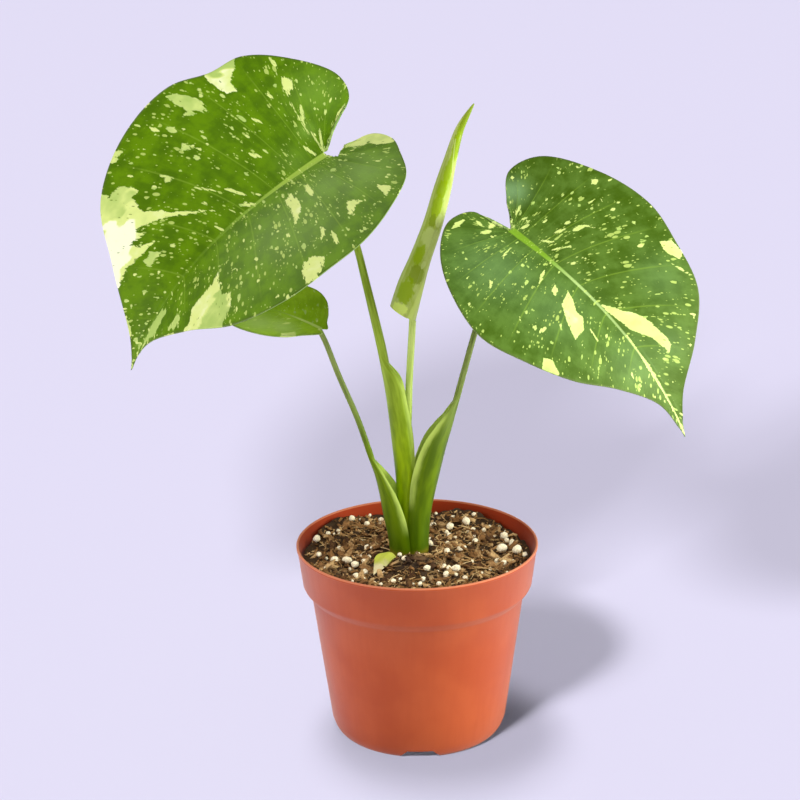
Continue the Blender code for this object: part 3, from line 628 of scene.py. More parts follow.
def halfBlade(leaf, side):
    rules = leafRules
    outline = leaf["left" if side < 0 else "right"]
    length = leaf["length"]
    scale = length / largeLeaf["length"]
    rows, columns = (max(least, round(rules[k] * scale))
                     for least, k in zip(rules["leastSteps"], ("marginSteps", "veinSteps")))
    margin = evenCurve([(0, 0), *outline, (length, 0)], rows)
    u = np.linspace(0, 1, rows + 1)
    run = np.gradient(margin, axis=0)
    inward = np.stack([run[:, 1], -run[:, 0]], 1) / np.linalg.norm(run, axis=1)[:, None]
    inset = rules["inset"] * np.clip(np.minimum(u, 1 - u) * rules["insetRamp"], 0, 1)
    margin += inward * inset[:, None]
    lobe = rules["lobeShare"]
    start = length * np.clip((u - lobe) / (1 - lobe), 0, 1) ** rules["veinLean"]
    v = np.linspace(0, 1, columns + 1)
    a = start[:, None] + (margin[:, :1] - start[:, None]) * v ** rules["veinBend"]
    b = np.maximum(margin[:, 1:], 0) * v
    veinLength = np.hypot(margin[:, 0] - start, margin[:, 1])
    return dict(a=a, b=b, u=np.repeat(u[:, None], columns + 1, 1), v=np.repeat(v[None], rows + 1, 0),
                veinLength=np.repeat(veinLength[:, None], columns + 1, 1))


def sinkVeins(points, lifted, grid, leaf, side):
    rules = leafRules
    alongRows = np.gradient(points, axis=0)
    alongColumns = np.gradient(points, axis=1)
    normals = np.cross(alongRows, alongColumns) * side
    normals /= np.maximum(np.linalg.norm(normals, axis=2, keepdims=True), 1e-9)
    nearRib = np.exp(-((grid["b"] / rules["ribSpread"]) ** 2))[..., None]
    normals = normals * (1 - nearRib) + lifted * nearRib
    normals /= np.linalg.norm(normals, axis=2, keepdims=True)
    scale = leaf["length"] / largeLeaf["length"]
    wave = np.abs(np.sin(np.pi * rules["sideVeins"] * grid["u"])) ** rules["veinSharpness"]
    room = np.clip(grid["veinLength"] * grid["v"] / rules["veinRoom"], 0, 1) * (1 - grid["v"] ** 3)
    lift = rules["quilting"] * scale * wave * room
    share = np.clip(grid["a"] / leaf["length"], 0, 1)
    width = rules["midribWidth"] * scale * (1.15 - share)
    ridge = np.exp(-((grid["b"] / width) ** 2)) * (grid["a"] > -0.01) * (1 - grid["v"] ** 4)
    lift = lift + rules["midribRise"] * scale * ridge * (1 - share)
    along, across = rules["waveLengths"]
    lift += rules["waves"] * np.sin(grid["a"] / along + 1) * np.sin(grid["b"] / across + side) * room
    return points + normals * (lift - rules["edgeDrop"] * grid["v"] ** 8)[..., None]


def outlineDistance(x, y, outline, moved=None):
    nearest = np.full(x.shape, 1e9)
    inside = np.zeros(x.shape, bool)
    for (ax, ay), (bx, by) in zip(outline, outline[1:] + outline[:1]):
        wx, wy = bx - ax, by - ay
        t = np.clip(((x - ax) * wx + (y - ay) * wy) / (wx * wx + wy * wy), 0, 1)
        far = np.hypot(x - ax - wx * t, y - ay - wy * t)
        if moved is not None:  # the nearest places on the outline
            moved[0] = np.where(far < nearest, ax + wx * t, moved[0])
            moved[1] = np.where(far < nearest, ay + wy * t, moved[1])
        nearest = np.minimum(nearest, far)
        crosses = (ay > y) != (by > y)
        if by != ay:
            inside ^= crosses & (x < (bx - ax) * (y - ay) / (by - ay) + ax)
    return np.where(inside, -nearest, nearest)


def streakDistance(x, y, start, end, width):
    wx, wy = end[0] - start[0], end[1] - start[1]
    t = np.clip(((x - start[0]) * wx + (y - start[1]) * wy) / max(wx * wx + wy * wy, 1e-6), 0, 1)
    taper = 1 - 0.7 * np.abs(2 * t - 1) ** 2.5
    return np.hypot(x - start[0] - wx * t, y - start[1] - wy * t) - width / 2 * taper


def creamField(leaf, x, y, wayX, wayY):  # distance to the cream, its paleness and its raggedness
    rules = leafRules
    field, tone, torn = (np.full(x.shape, value) for value in (4.0, 0.5, 0.3))

    def lay(distance, paleness, raggedness):
        nonlocal field, tone, torn
        nearer = distance < field
        tone = np.where(nearer, paleness, tone)
        torn = np.where(nearer, raggedness, torn)
        field = np.minimum(field, distance)

    for paleness, outline in leaf["patches"]:
        lay(outlineDistance(x, y, outline), paleness, leaf["ragged"])
    for start, end, width in leaf["streaks"]:
        lay(streakDistance(x, y, start, end, width), 0.5, 0.5)
    rng = random.Random(leaf["seed"])
    dabs = list(leaf["dabs"])
    shortest, spread, power = rules["fleckLength"]
    narrowest, share = rules["fleckWidth"]
    for _ in range(leaf["flecks"]):
        spot = rng.randrange(len(x))
        length = shortest + spread * rng.random() ** power
        dabs.append((x[spot], y[spot], length, narrowest + share * length * rng.random()))
    for middleX, middleY, length, width in dabs:
        k = int(np.argmin((x - middleX) ** 2 + (y - middleY) ** 2))
        half = max(length - width, 0.2) / 2
        start, end = ((middleX + wayX[k] * far, middleY + wayY[k] * far) for far in (-half, half))
        distance = streakDistance(x, y, start, end, width * rules["dabWidth"])
        lay(distance, rng.uniform(*rules["dabTone"]), 0.4)
    for paleness, outline in leaf.get("zones", []):
        wave = 1.7 * np.sin(0.55 * x + 1.9 * np.sin(0.31 * y)) + 0.8 * np.sin(1.3 * y - 0.7 * x)
        share = np.clip(0.5 - outlineDistance(x + wave, y - wave, outline) * 0.7, 0, 1)
        tone = tone * (1 - share) + paleness * share
    return field, tone, torn


# Painted sheen: how strongly each point is lightened to stand in for soft reflection
def paintedSheenField(leaf, x, y):
    paintedSheen = np.zeros(x.shape)
    for middleX, middleY, radius, amount in leaf["paintedSheens"]:
        far = ((x - middleX) ** 2 + (y - middleY) ** 2) / radius**2
        paintedSheen = np.maximum(paintedSheen, amount * np.exp(-far))
    return paintedSheen


def makeBlade(leaf, upper, under):
    points, faces, data = [], [], {k: [] for k in ("a", "b", "u", "v", "veinLength", "wayX", "wayY")}
    count = 0
    for side in (-1, 1):
        grid = halfBlade(leaf, side)
        rows, columns = grid["a"].shape
        inPocket = np.zeros(rows * columns, bool)
        if "pocket" in leaf:
            moved = [0 * grid["a"], 0 * grid["b"]]
            inside = outlineDistance(grid["a"], side * grid["b"], leaf["pocket"], moved) < 0
            grid["a"] = np.where(inside, moved[0], grid["a"])
            grid["b"] = np.where(inside, np.maximum(side * moved[1], 0), grid["b"])
            inPocket = inside.ravel()
        shape, lifted = bladePoints(leaf, grid["a"], grid["b"], side)
        shape = sinkVeins(shape, lifted, grid, leaf, side)
        points.append(shape.reshape(-1, 3))
        made = gridFaces(rows, columns, flip=side < 0)
        faces += [[count + k for k in face] for face in made if not inPocket[face].all()]
        wayA, wayB = np.gradient(grid["a"], axis=1), side * np.gradient(grid["b"], axis=1)
        size = np.maximum(np.hypot(wayA, wayB), 1e-9)
        grid.update(b=side * grid["b"], wayX=wayA / size, wayY=wayB / size)
        for key in data:
            data[key].append(grid[key].ravel())
        count += rows * columns
    points = np.concatenate(points)
    data = {key: np.concatenate(values) for key, values in data.items()}
    field, tone, torn = creamField(leaf, data["a"], data["b"], data["wayX"], data["wayY"])
    marginLength = leafRules["marginReach"] * leaf["length"]
    attributes = {
        "cream": field, "tone": tone, "torn": torn, "out": np.abs(data["b"]), "along": data["a"],
        "toMargin": data["veinLength"] * (1 - data["v"]),
        "paintedSheen": paintedSheenField(leaf, data["a"], data["b"]),
        "flat": np.stack([data["a"], data["b"], 0 * data["a"]], 1),
    }
    uvs = {"veins": np.stack([data["u"] * marginLength, data["v"] * data["veinLength"]], 1) / uvSpan}
    mesh = cleaned(meshFrom(leaf["name"], points, faces, attributes, uvs), outward=False)
    piece = newObject(leaf["name"] + "_fine", mesh)
    mesh.materials.append(upper)
    mesh.materials.append(under)
    mesh.shade_smooth()
    solid = addThickness(piece, leafRules["thickness"], -1.0)
    solid.use_quality_normals = True
    solid.material_offset = 1
    solid.material_offset_rim = 1
    bakeAndJoin(piece, "leaf", leaf["name"])


def leafFinish(name, leaf, tints, under=False):
    f = Finish(name)
    veins = f.unwrapped("veins")
    flat = f.attribute("flat", "Vector")
    out, along, toMargin = f.attribute("out"), f.attribute("along"), f.attribute("toMargin")
    stretched = veins.times((1.0, 0.35, 1.0))
    rough = f.clouds(stretched, 0.55, 4.0, 0.7) - 0.5
    cream = f.ramp(f.attribute("cream") + rough * f.attribute("torn") * 6.0, 0.12, -0.12)
    tone = f.attribute("tone") + (f.clouds(flat, 0.13, 2.0) - 0.5) * 0.6
    # Fine specks in three sizes, gathered in clusters and drawn out along the veins
    share = along / leaf["length"]
    gather = f.ramp(f.clouds(flat, 0.07, 3.0), 0.38, 0.62) - f.ramp(share, 0.8, 1.0) * 0.6
    specks = 0.0
    for scale, floor in leafRules["specks"]:
        distance, draw = f.cells(veins.times((1.0, 0.6, 1.0)), scale)
        reach = (draw - floor + gather * 0.15).most(0.0) * leafRules["speckGrowth"]
        specks = f.ramp(distance - reach, 0.06, -0.06).most(specks)
    # Side veins as thin pale lines that fade towards the margin
    spacing = leafRules["marginReach"] * leaf["length"] / leafRules["sideVeins"]
    place = (f.parts(veins)[0] / spacing).one("FRACT")
    nearVein = (place - 0.5).one("ABSOLUTE") * -1.0 + 0.5
    line = f.ramp(nearVein * spacing, 0.8, 0.1) * f.ramp(toMargin, 2.0, 25.0, 0.0, 0.7)
    ribBase, ribNext = tints["rib"]
    ribWidth = f.ramp(share, 0.0, 0.3, ribBase, ribNext) * f.ramp(share, 0.3, 1.0, 1.0, 0.35)
    rib = f.ramp(out - ribWidth, 0.4, -0.3) * f.ramp(along, -1.0, 0.5)
    mottle = f.clouds(stretched, 0.16, 3.0, 0.6) * 0.35 + f.clouds(flat, 0.09, 3.0, 0.6) * 0.65
    green = f.mix(f.ramp(mottle, 0.38, 0.62), tints["dark"], tints["bright"])
    # Painted sheen: a lighter, greyer green where soft reflection would fall
    green = f.mix(f.attribute("paintedSheen") * 0.6, green, tints["paintedSheen"])
    green = f.mix(line * 0.4, green, tints["vein"])
    ribTint = f.mix(f.ramp(share, 0.15, 0.35), tints["midrib"], tints["ribEnd"])
    green = f.mix(rib * f.ramp(share, 0.15, 0.6, 0.9, tints["ribFade"]), green, ribTint)
    green = f.mix(f.ramp(toMargin, 1.5, 0.0) * 0.55, green, tints["margin"])
    pale = f.mix(f.ramp(tone, 0.2, 0.6), tints["paleGreen"], tints["cream"])
    pale = f.mix(f.ramp(tone, 0.6, 0.95), pale, tints["white"])
    colour = f.mix(specks * 0.75, green, tints["speck"])
    distance, draw = f.cells(veins.times((1.0, 0.4, 1.0)), 0.9)
    holes = f.ramp(distance - (draw - 0.76).most(0.0) * 1.3, 0.05, -0.05)
    colour = f.mix(cream * (1.0 - holes * 0.75), colour, pale)
    grain = f.clouds(flat, 2.2, 3.0, 0.6)
    height = line * -0.4 + grain * 0.15 + f.clouds(stretched, 0.6, 2.0) * 0.5
    normal = f.bump(height, 0.35, 0.4)
    roughness = grain * 0.12 + tints["roughness"]
    if under:
        colour = f.mix(0.45, colour, tints["under"])
        roughness = grain * 0.1 + 0.6
    return f.surface(colour, roughness, normal, Specular_IOR_Level=0.3, **leafShine)


def makeLeaves():
    shared = {
        "vein": (150, 182, 60), "paleGreen": (176, 202, 104), "cream": (224, 236, 140),
        "white": (255, 255, 215), "speck": (196, 216, 110), "under": (150, 175, 110),
        "margin": (84, 100, 44), "ribEnd": (150, 184, 70), "ribFade": 0.1,
    }
    kinds = [
        (largeLeaf, dict(shared, dark=(74, 110, 0), bright=(98, 138, 0), rib=(1.7, 0.8),
                         midrib=(166, 196, 76), paintedSheen=(132, 168, 72), roughness=0.36)),
        (rightLeaf, dict(shared, dark=(66, 94, 14), bright=(90, 120, 42), rib=(1.9, 0.7),
                         midrib=(130, 170, 44), paintedSheen=(124, 158, 104), roughness=0.34,
                         ribEnd=(196, 220, 140), ribFade=0.5)),
        # The small leaf's greens are painted lighter than the other leaves' to make up for the large leaf's
        # shade on it: painted light
        (smallLeaf, dict(shared, dark=(146, 184, 6), bright=(172, 208, 34), rib=(1.0, 0.5),
                         midrib=(210, 225, 130), paintedSheen=(190, 212, 130), roughness=0.38)),
    ]
    for leaf, tints in kinds:
        upper = leafFinish(leaf["name"] + " upper face", leaf, tints)
        under = leafFinish(leaf["name"] + " underside", leaf, tints, under=True)
        makeBlade(leaf, upper, under)
        print(leaf["name"], "made")


# Stalks

stalkRules = {
    "sides": 21, "steps": 8, "edge": 0.7, "seat": 0.6, "cadBlade": 0.8,
    "wallPower": 1.3,        # how soon a sheath's wall thins towards its edges
    "halfTurn": 80,          # degrees, for each face of a plain stalk
}

# Foot to blade: place, thickness, sheath share, sheath radius and half angle
largeStalk = [
    ((-7.4, 0, 72.3), 2.5, 1, 3.5, 116), ((-7.4, 0, 96.5), 2.6, 1, 3.6, 116),
    ((-7.9, 0.4, 113), 3.0, 1, 4.0, 116), ((-8.5, 1, 130), 3.2, 1, 4.9, 126),
    ((-9.9, 2, 147), 3.5, 1, 5.4, 128), ((-10.9, 2.6, 158), 3.7, 1, 5.3, 126),
    ((-12.3, 3.6, 172), 4.1, 1, 4.8, 124), ((-13.6, 4.6, 181), 4.3, 0.85, 4.8, 116),
    ((-15.3, 5.4, 191.5), 4.5, 0, 4.8, 100), ((-17.4, 6.2, 202), 4.4, 0, 4.8, 100),
    ((-23.5, 8, 229.5), 3.8, 0, 4.8, 100), ((-26.8, 8.8, 244), 3.5, 0, 4.8, 100),
    ((-31.4, 8, 260), 3.3, 0, 4.8, 100), ((-36.2, 4, 276.5), 3.2, 0, 4.8, 100),
]
rightStalk = [
    ((4.9, 0, 72.3), 1.9, 1, 6.4, 112), ((4.9, 0, 96.5), 1.9, 1, 6.4, 112),
    ((6.2, 0, 113), 2.0, 1, 6.5, 124), ((10.0, 1, 131), 2.3, 1, 7.7, 124),
    ((13.9, 2, 147.5), 2.7, 1, 7.4, 110), ((16.2, 2.6, 155.5), 2.9, 1, 5.9, 100),
    ((18.0, 3.2, 162.5), 3.1, 0.75, 4.6, 92), ((20.8, 4.2, 172.5), 3.2, 0, 4.6, 90),
    ((24.0, 5.6, 184), 3.1, 0, 4.6, 90), ((29.4, 7.6, 203), 2.9, 0, 4.6, 90),
    ((38.2, 7.6, 230.5), 2.8, 0, 4.6, 90), ((42.6, 3.4, 245), 2.8, 0, 4.6, 90),
]
smallStalk = [
    ((-12.9, 0, 72.3), 1.9, 1, 8.3, 98), ((-13.0, 0, 96.5), 1.9, 1, 8.4, 98),
    ((-15.7, -0.4, 112.5), 2.0, 1, 7.9, 103), ((-17.4, -1.9, 124.5), 2.2, 1, 6.1, 102),
    ((-19.4, -3.9, 135), 2.5, 0.8, 3.7, 100), ((-22.2, -5.2, 144.5), 2.9, 0, 3.9, 90),
    ((-28.0, -8, 164), 2.8, 0, 3.9, 90), ((-37.0, -10.4, 188), 2.7, 0, 3.9, 90),
    ((-42.3, -11.6, 203.5), 2.6, 0, 3.9, 90),
]
rolledStalk = [((x, y, z), thickness, 0, 1, 90) for x, y, z, thickness in (
    (-3.9, 0, 72.3, 2.9), (-3.9, 0, 96.5, 2.9), (-4.0, 0.4, 113, 3.1), (-3.7, 1, 130, 3.3),
    (-4.0, 2, 147, 3.4), (-3.4, 2.6, 165, 3.4), (-2.8, 3, 181, 3.4), (-1.4, 3.2, 202.0, 3.4),
    (-0.9, 3.2, 210.3, 3.4),
)]


def stalkRing(middle, along, opening, thickness, share, radius, halfAngle):
    inward = opening - along * (opening @ along)
    inward /= np.linalg.norm(inward)
    across = np.cross(along, inward)
    t = np.linspace(-1, 1, stalkRules["sides"])[:, None]
    a = math.radians(halfAngle) * t
    edge = stalkRules["edge"]
    wall = 0.5 * (edge + (thickness - edge) * np.cos(t * math.pi / 2) ** stalkRules["wallPower"])
    out = -inward * np.cos(a) + across * np.sin(a)
    spot = middle + inward * radius + out * radius
    b = math.radians(stalkRules["halfTurn"]) * t
    back, front = (middle + thickness / 2 * (way * np.cos(b) + across * np.sin(b))
                   for way in (-inward, inward))
    channel = np.concatenate([spot + out * wall, (spot - out * wall)[::-1]])
    rounded = np.concatenate([back, front[::-1]])
    return channel * share + rounded * (1 - share)


def makeStalk(node, stations, opening, finish, end=None, slant=0.0):
    rows = [[*place, *rest] for place, *rest in stations]
    if end is not None:
        rows.append([*end, rows[-1][3], 0, *rows[-1][5:]])
    path = smoothCurve(rows, stalkRules["steps"])
    path[:, 4] = np.clip(path[:, 4], 0, 1)
    slopes = np.gradient(path[:, :3], axis=0)
    slopes[0] = (0, 0, 1)
    rings = []
    for row, slope in zip(path, slopes):
        rings.append(stalkRing(row[:3], slope / np.linalg.norm(slope), np.array(opening), *row[3:]))
    rings[-1][:, 2] -= (rings[-1] - path[-1, :3])[:, 0] * slant
    sides = stalkRules["sides"]
    t = np.linspace(-1, 1, sides)
    turn = np.concatenate([t, t[::-1]])
    inner = np.concatenate([0 * t, 0 * t + 1])
    reach = pathReach(path[:, :3])
    count = 2 * sides
    points = np.concatenate(rings)
    attributes = {
        "edge": np.tile(np.abs(turn), len(rings)), "inner": np.tile(inner, len(rings)),
        "sheath": np.repeat(path[:, 4], count), "height": points[:, 2],
        "reach": np.repeat(reach / reach[-1], count),
    }
    uvs = {"run": np.stack([np.tile(turn * 3, len(rings)), np.repeat(reach, count)], 1) / uvSpan}
    mesh = meshFrom(node, points, tubeFaces(len(rings), count), attributes, uvs)
    addPiece(node + "_fine", cleaned(mesh, 0.00001), "stalk", [finish], node, sharp=50)


def stalkEnd(leaf):
    _, normal, _ = bladeFrame(leaf)
    return np.array(leaf["base"]) - normal * (stalkRules["cadBlade"] + stalkRules["seat"])


def stalkFinish(name, tints):
    f = Finish(name)
    grain = f.clouds(f.unwrapped("run").times((1.3, 0.05, 1.0)), 1.0, 3.0)
    height, sheath, edge = f.attribute("height"), f.attribute("sheath"), f.attribute("edge")
    lower = f.mix(f.ramp(grain, 0.3, 0.7), tints["dark"], tints["bright"])
    # Painted shade: the sheaths darken towards the mix
    lower = f.mix(f.ramp(height, 128.0, 100.0) * 0.6, lower, tints["shade"])
    upper = f.mix(f.ramp(grain, 0.3, 0.7), tints["stalkDark"], tints["stalk"])
    colour = f.mix(f.ramp(height, 140.0, 190.0), lower, upper)
    # Pale thin edges of the sheaths, kept to the heights where highlights fall: partly their own colour,
    # partly a painted highlight
    low, high, amount = tints["edgeHighlightBand"]
    band = f.ramp(height, low - 10.0, low) * f.ramp(height, high + 6.0, high)
    rim = f.ramp(edge + (grain - 0.5) * 0.3, 0.74, 1.0) * sheath * band
    colour = f.mix(rim * amount, colour, tints["rim"])
    # The sheaths' inner faces are paler, and painted lighter to make up for the shade they lie in: partly
    # their own colour, partly painted light
    colour = f.mix(f.attribute("inner") * sheath * 0.85, colour, tints["inner"])
    foot = f.ramp(height + (grain - 0.5) * 6.0, 96.0, 92.0)
    colour = f.mix(foot * 0.6, colour, tints["foot"])
    normal = f.bump(grain, 0.25, 0.3)
    return f.surface(colour, grain * 0.15 + 0.36, normal, Specular_IOR_Level=0.25, **leafShine)


def makeStalks():
    shared = {
        "dark": (78, 102, 0), "bright": (116, 140, 0), "shade": (56, 82, 0),
        "stalk": (166, 190, 64), "stalkDark": (128, 150, 36), "rim": (206, 226, 110),
        "foot": (160, 130, 40), "inner": (206, 228, 104),
    }
    large = stalkFinish("large leaf's stalk", dict(
        shared, dark=(106, 132, 0), bright=(150, 176, 0), edgeHighlightBand=(140.0, 185.0, 0.5)))
    thin = dict(shared, stalk=(146, 160, 84), stalkDark=(108, 124, 58))
    side = stalkFinish("right leaf's stalk", dict(
        thin, dark=(70, 92, 0), bright=(102, 126, 0), edgeHighlightBand=(124.0, 160.0, 0.7)))
    small = stalkFinish("small leaf's stalk", dict(thin, edgeHighlightBand=(112.0, 136.0, 0.8)))
    young = stalkFinish("new leaf's stalk", dict(
        shared, dark=(160, 186, 50), bright=(196, 216, 96), stalk=(206, 222, 124),
        stalkDark=(176, 200, 92), shade=(150, 178, 40), edgeHighlightBand=(0.0, 1.0, 0.0)))
    right, left = (1.0, 0.0, 0.0), (-1.0, 0.0, 0.0)
    makeStalk("leaf_large_petiole", largeStalk, right, large, stalkEnd(largeLeaf))
    makeStalk("leaf_right_petiole", rightStalk, left, side, stalkEnd(rightLeaf))
    makeStalk("leaf_small_petiole", smallStalk, right, small, stalkEnd(smallLeaf))
    makeStalk("leaf_rolled_petiole", rolledStalk, right, young, slant=0.55)
    print("stalks made")


# New leaf

newLeaf = {
    # Foot to tip: middle of each section and its radius
    "stations": [
        ((-5.3, 3.0, 213.6), 6.9), ((-1.4, 3.2, 227.0), 6.4), ((2.9, 3.4, 239.0), 5.3),
        ((9.3, 3.6, 256.5), 4.7), ((14.1, 3.8, 273.5), 4.2), ((17.8, 4.0, 287.0), 3.1),
        ((22.1, 4.0, 301.0), 2.1), ((26.0, 4.0, 308.5), 1.2), ((28.7, 4.0, 313.0), 0.35),
    ],
    "sides": 56, "steps": 10, "lap": 0.9, "seam": -70.0,
    "mouthDepth": 9.0, "mouthSlants": (0.29, 0.116), "mouthWidth": 0.86, "throatWidth": 0.2,
    # Painted areas: tint, middle and half sizes, as shares of the length and of the half width
    "areas": [
        ("green", 0.88, 0.05, 0.06, 0.6), ("green", 0.79, 0.25, 0.07, 0.6), ("green", 0.69, 0.05, 0.07, 0.5),
        ("green", 0.6, -0.1, 0.045, 0.55), ("green", 0.52, -0.15, 0.055, 0.55),
        ("olive", 0.45, -0.15, 0.03, 0.4), ("light", 0.46, 0.4, 0.03, 0.3),
        ("light", 0.38, 0.0, 0.045, 0.7), ("green", 0.29, -0.3, 0.05, 0.4),
        ("olive", 0.2, 0.1, 0.045, 0.6), ("light", 0.25, 0.35, 0.02, 0.2), ("green", 0.115, -0.3, 0.06, 0.6),
        ("olive", 0.95, 0.1, 0.07, 1.1), ("throat", 0.025, -0.45, 0.03, 0.6),
    ],
    # Painted lines: tint, from, to and half width
    "lines": [
        ("light", (0.0, 0.95), (0.75, 0.95), 0.2), ("light", (0.0, -0.97), (0.92, -0.85), 0.14),
        ("olive", (0.77, 0.85), (0.98, 0.6), 0.22), ("light", (0.66, 0.78), (0.83, -0.22), 0.1),
        ("rib", (0.0, 0.5), (0.17, 0.92), 0.18),
    ],
}


def makeNewLeaf():
    rules = newLeaf
    path = smoothCurve([[*place, radius] for place, radius in rules["stations"]], rules["steps"])
    slopes = np.gradient(path[:, :3], axis=0)
    turned = np.linspace(0, 1, rules["sides"])
    rings = []
    for row, slope in zip(path, slopes):
        along = slope / np.linalg.norm(slope)
        east = np.array([1.0, 0.0, 0.0]) - along * along[0]
        east /= np.linalg.norm(east)
        north = np.cross(along, east)
        lap = min(rules["lap"], row[3] * 0.3)
        a = math.radians(rules["seam"]) + math.tau * turned * (rules["sides"] - 1) / rules["sides"]
        radius = row[3] - lap / 2 + lap * turned
        rings.append(row[:3] + radius[:, None] * (np.cos(a)[:, None] * east + np.sin(a)[:, None] * north))
    foot = path[0, :3]
    along = slopes[0] / np.linalg.norm(slopes[0])
    for k, slant in enumerate(rules["mouthSlants"]):
        rings[k] = rings[k] - np.outer((rings[k] - path[k, :3])[:, 0] * slant, along)
    mouth = foot + (rings[0] - foot) * rules["mouthWidth"]
    throat = foot + along * rules["mouthDepth"] + (rings[0] - foot) * rules["throatWidth"]
    rings = [throat, mouth, *rings]
    count = rules["sides"]
    points = np.concatenate(rings)
    reach = pathReach(path[:, :3])
    share = np.concatenate([[0.0, 0.0], reach / reach[-1]])
    middles = np.stack([ring.mean(axis=0) for ring in rings])
    widths = np.array([np.abs(ring[:, 0] - middle[0]).max() for ring, middle in zip(rings, middles)])
    attributes = {
        "across": (points[:, 0] - np.repeat(middles[:, 0], count)) / np.repeat(widths, count),
        "reach": np.repeat(share, count),
        "throat": np.repeat([1.0, 1.0] + [0.0] * len(path), count),
    }
    mesh = meshFrom("leaf_rolled_blade", points, tubeFaces(len(rings), count), attributes)
    f = Finish("new leaf's outer face")
    across, up = f.attribute("across"), f.attribute("reach")
    place = f.objectPlace((1.0, 1.0, 0.5))
    rough = f.clouds(place, 0.5, 4.0, 0.65) - 0.5
    tints = {"green": (146, 174, 0), "olive": (132, 152, 30), "light": (192, 206, 116),
             "rib": (196, 212, 106), "throat": (220, 238, 112)}
    colour = f.mix(f.ramp(f.clouds(place, 0.14, 3.0), 0.35, 0.65), (162, 180, 66), (184, 198, 104))
    # Each area and line fades over a ragged edge
    for tint, middleUp, middleAcross, halfUp, halfAcross in rules["areas"]:
        first, second = (up - middleUp) / halfUp, (across - middleAcross) / halfAcross
        far = (first * first + second * second) ** 0.5 + rough * 1.6
        colour = f.mix(f.ramp(far, 1.15, 0.85) * 0.85, colour, tints[tint])
    for tint, (startUp, startAcross), (endUp, endAcross), half in rules["lines"]:
        share = (up - startUp) / (endUp - startUp)
        far = (across - (startAcross + share * (endAcross - startAcross))).one("ABSOLUTE") + rough * half
        within = f.ramp(share, -0.02, 0.02) * f.ramp(share, 1.02, 0.98)
        colour = f.mix(f.ramp(far, half * 1.3, half * 0.6) * within * 0.85, colour, tints[tint])
    colour = f.mix(f.attribute("throat"), colour, tints["throat"])
    normal = f.bump(f.clouds(place, 0.6, 2.0), 0.3, 0.4)
    finish = f.surface(colour, 0.5, normal, Specular_IOR_Level=0.2, **leafShine)
    mesh = cleaned(mesh, 0.00001)
    addPiece("leaf_rolled_blade_fine", mesh, "new_leaf", [finish], "leaf_rolled_blade", sharp=60)
    print("new leaf made")


# Pot

pot = {
    "height": 97.3, "rimRadius": 59.98, "standingRadius": 41.8,
    "standingWidth": 3.0, "wall": 1.5, "floorUnderside": 4.2, "floorTop": 6.0, "lipHeight": 1.6,
    "shoulder": (71.5, 73.1, 76.0, 77.5),  # heights from the body's top to the band's foot
    # Outer side: heights and radii
    "heights": (0.0, 2.2, 5.5, 71.5, 73.1, 76.0, 77.5, 97.3),
    "radii": (41.8, 43.1, 44.25, 53.0, 53.9, 56.5, 57.2, 59.48),
    "notchCount": 3, "notchBase": 21.7, "notchTop": 12.6, "notchHeight": 3.9,
    "notchReach": (35.6, 47.6), "notchFoot": -1.0,
    "drainCount": 6, "drainRadius": 4.0, "drainRing": 27.0, "drainSides": 24, "drainDepth": (2.2, 8.0),
    "turnSteps": 160, "sharpAngle": 38,
}


def potRadius(z):
    return float(np.interp(z, pot["heights"], pot["radii"]))


def potProfile():
    p = pot
    wall, lip, top, rim = p["wall"], p["lipHeight"], p["height"], p["rimRadius"]
    levels = [p["floorTop"] + 1.5, 30.0, 50.0, *p["shoulder"]]
    inner = [(potRadius(z) - wall, z) for z in levels]
    outer = [(potRadius(z), z) for z in (*levels[:0:-1], 16.0, 5.5, 2.2, 0.6)]
    lipLine = [
        (rim - 1.5, top - 3.0), (rim - 1.0, top - 0.3), (rim - 0.8, top), (rim - 0.3, top),
        (rim, top - 0.3), (rim, top - lip + 0.3), (rim - 0.5, top - lip - 0.3),
    ]
    stand, width, under = p["standingRadius"], p["standingWidth"], p["floorUnderside"]
    foot = [(stand - 0.3, 0.0), (stand - width, 0.0), (stand - width - 0.4, under), (0.0, under)]
    floor = [(0.0, p["floorTop"]), (potRadius(p["floorTop"]) - wall - 1.5, p["floorTop"])]
    return floor + inner + lipLine + outer + foot


def turnedTree():  # a profile in X and Z, swept round the Z axis
    g, names, given = newTree("turned wall", {
        "Profile": "Geometry", "Steps": "Int", "Finish": "Material"}, "Wall")
    line = g.node("GeometryNodeMeshToCurve", inputs={"Mesh": given["Profile"]})
    ring = g.node("GeometryNodeCurvePrimitiveCircle", inputs={
        "Resolution": given["Steps"], "Radius": 0.000001})
    wall = g.node("GeometryNodeCurveToMesh", inputs={"Curve": ring, "Profile Curve": line})
    wall = g.node("GeometryNodeMergeByDistance", inputs={"Geometry": wall, "Distance": 0.000004})
    wall = g.node("GeometryNodeRealizeInstances", inputs={"Geometry": wall})
    wall = g.node("GeometryNodeSetMaterial", inputs={"Geometry": wall, "Material": given["Finish"]})
    g.node("NodeGroupOutput", inputs={"Wall": wall})
    return g.tree, names


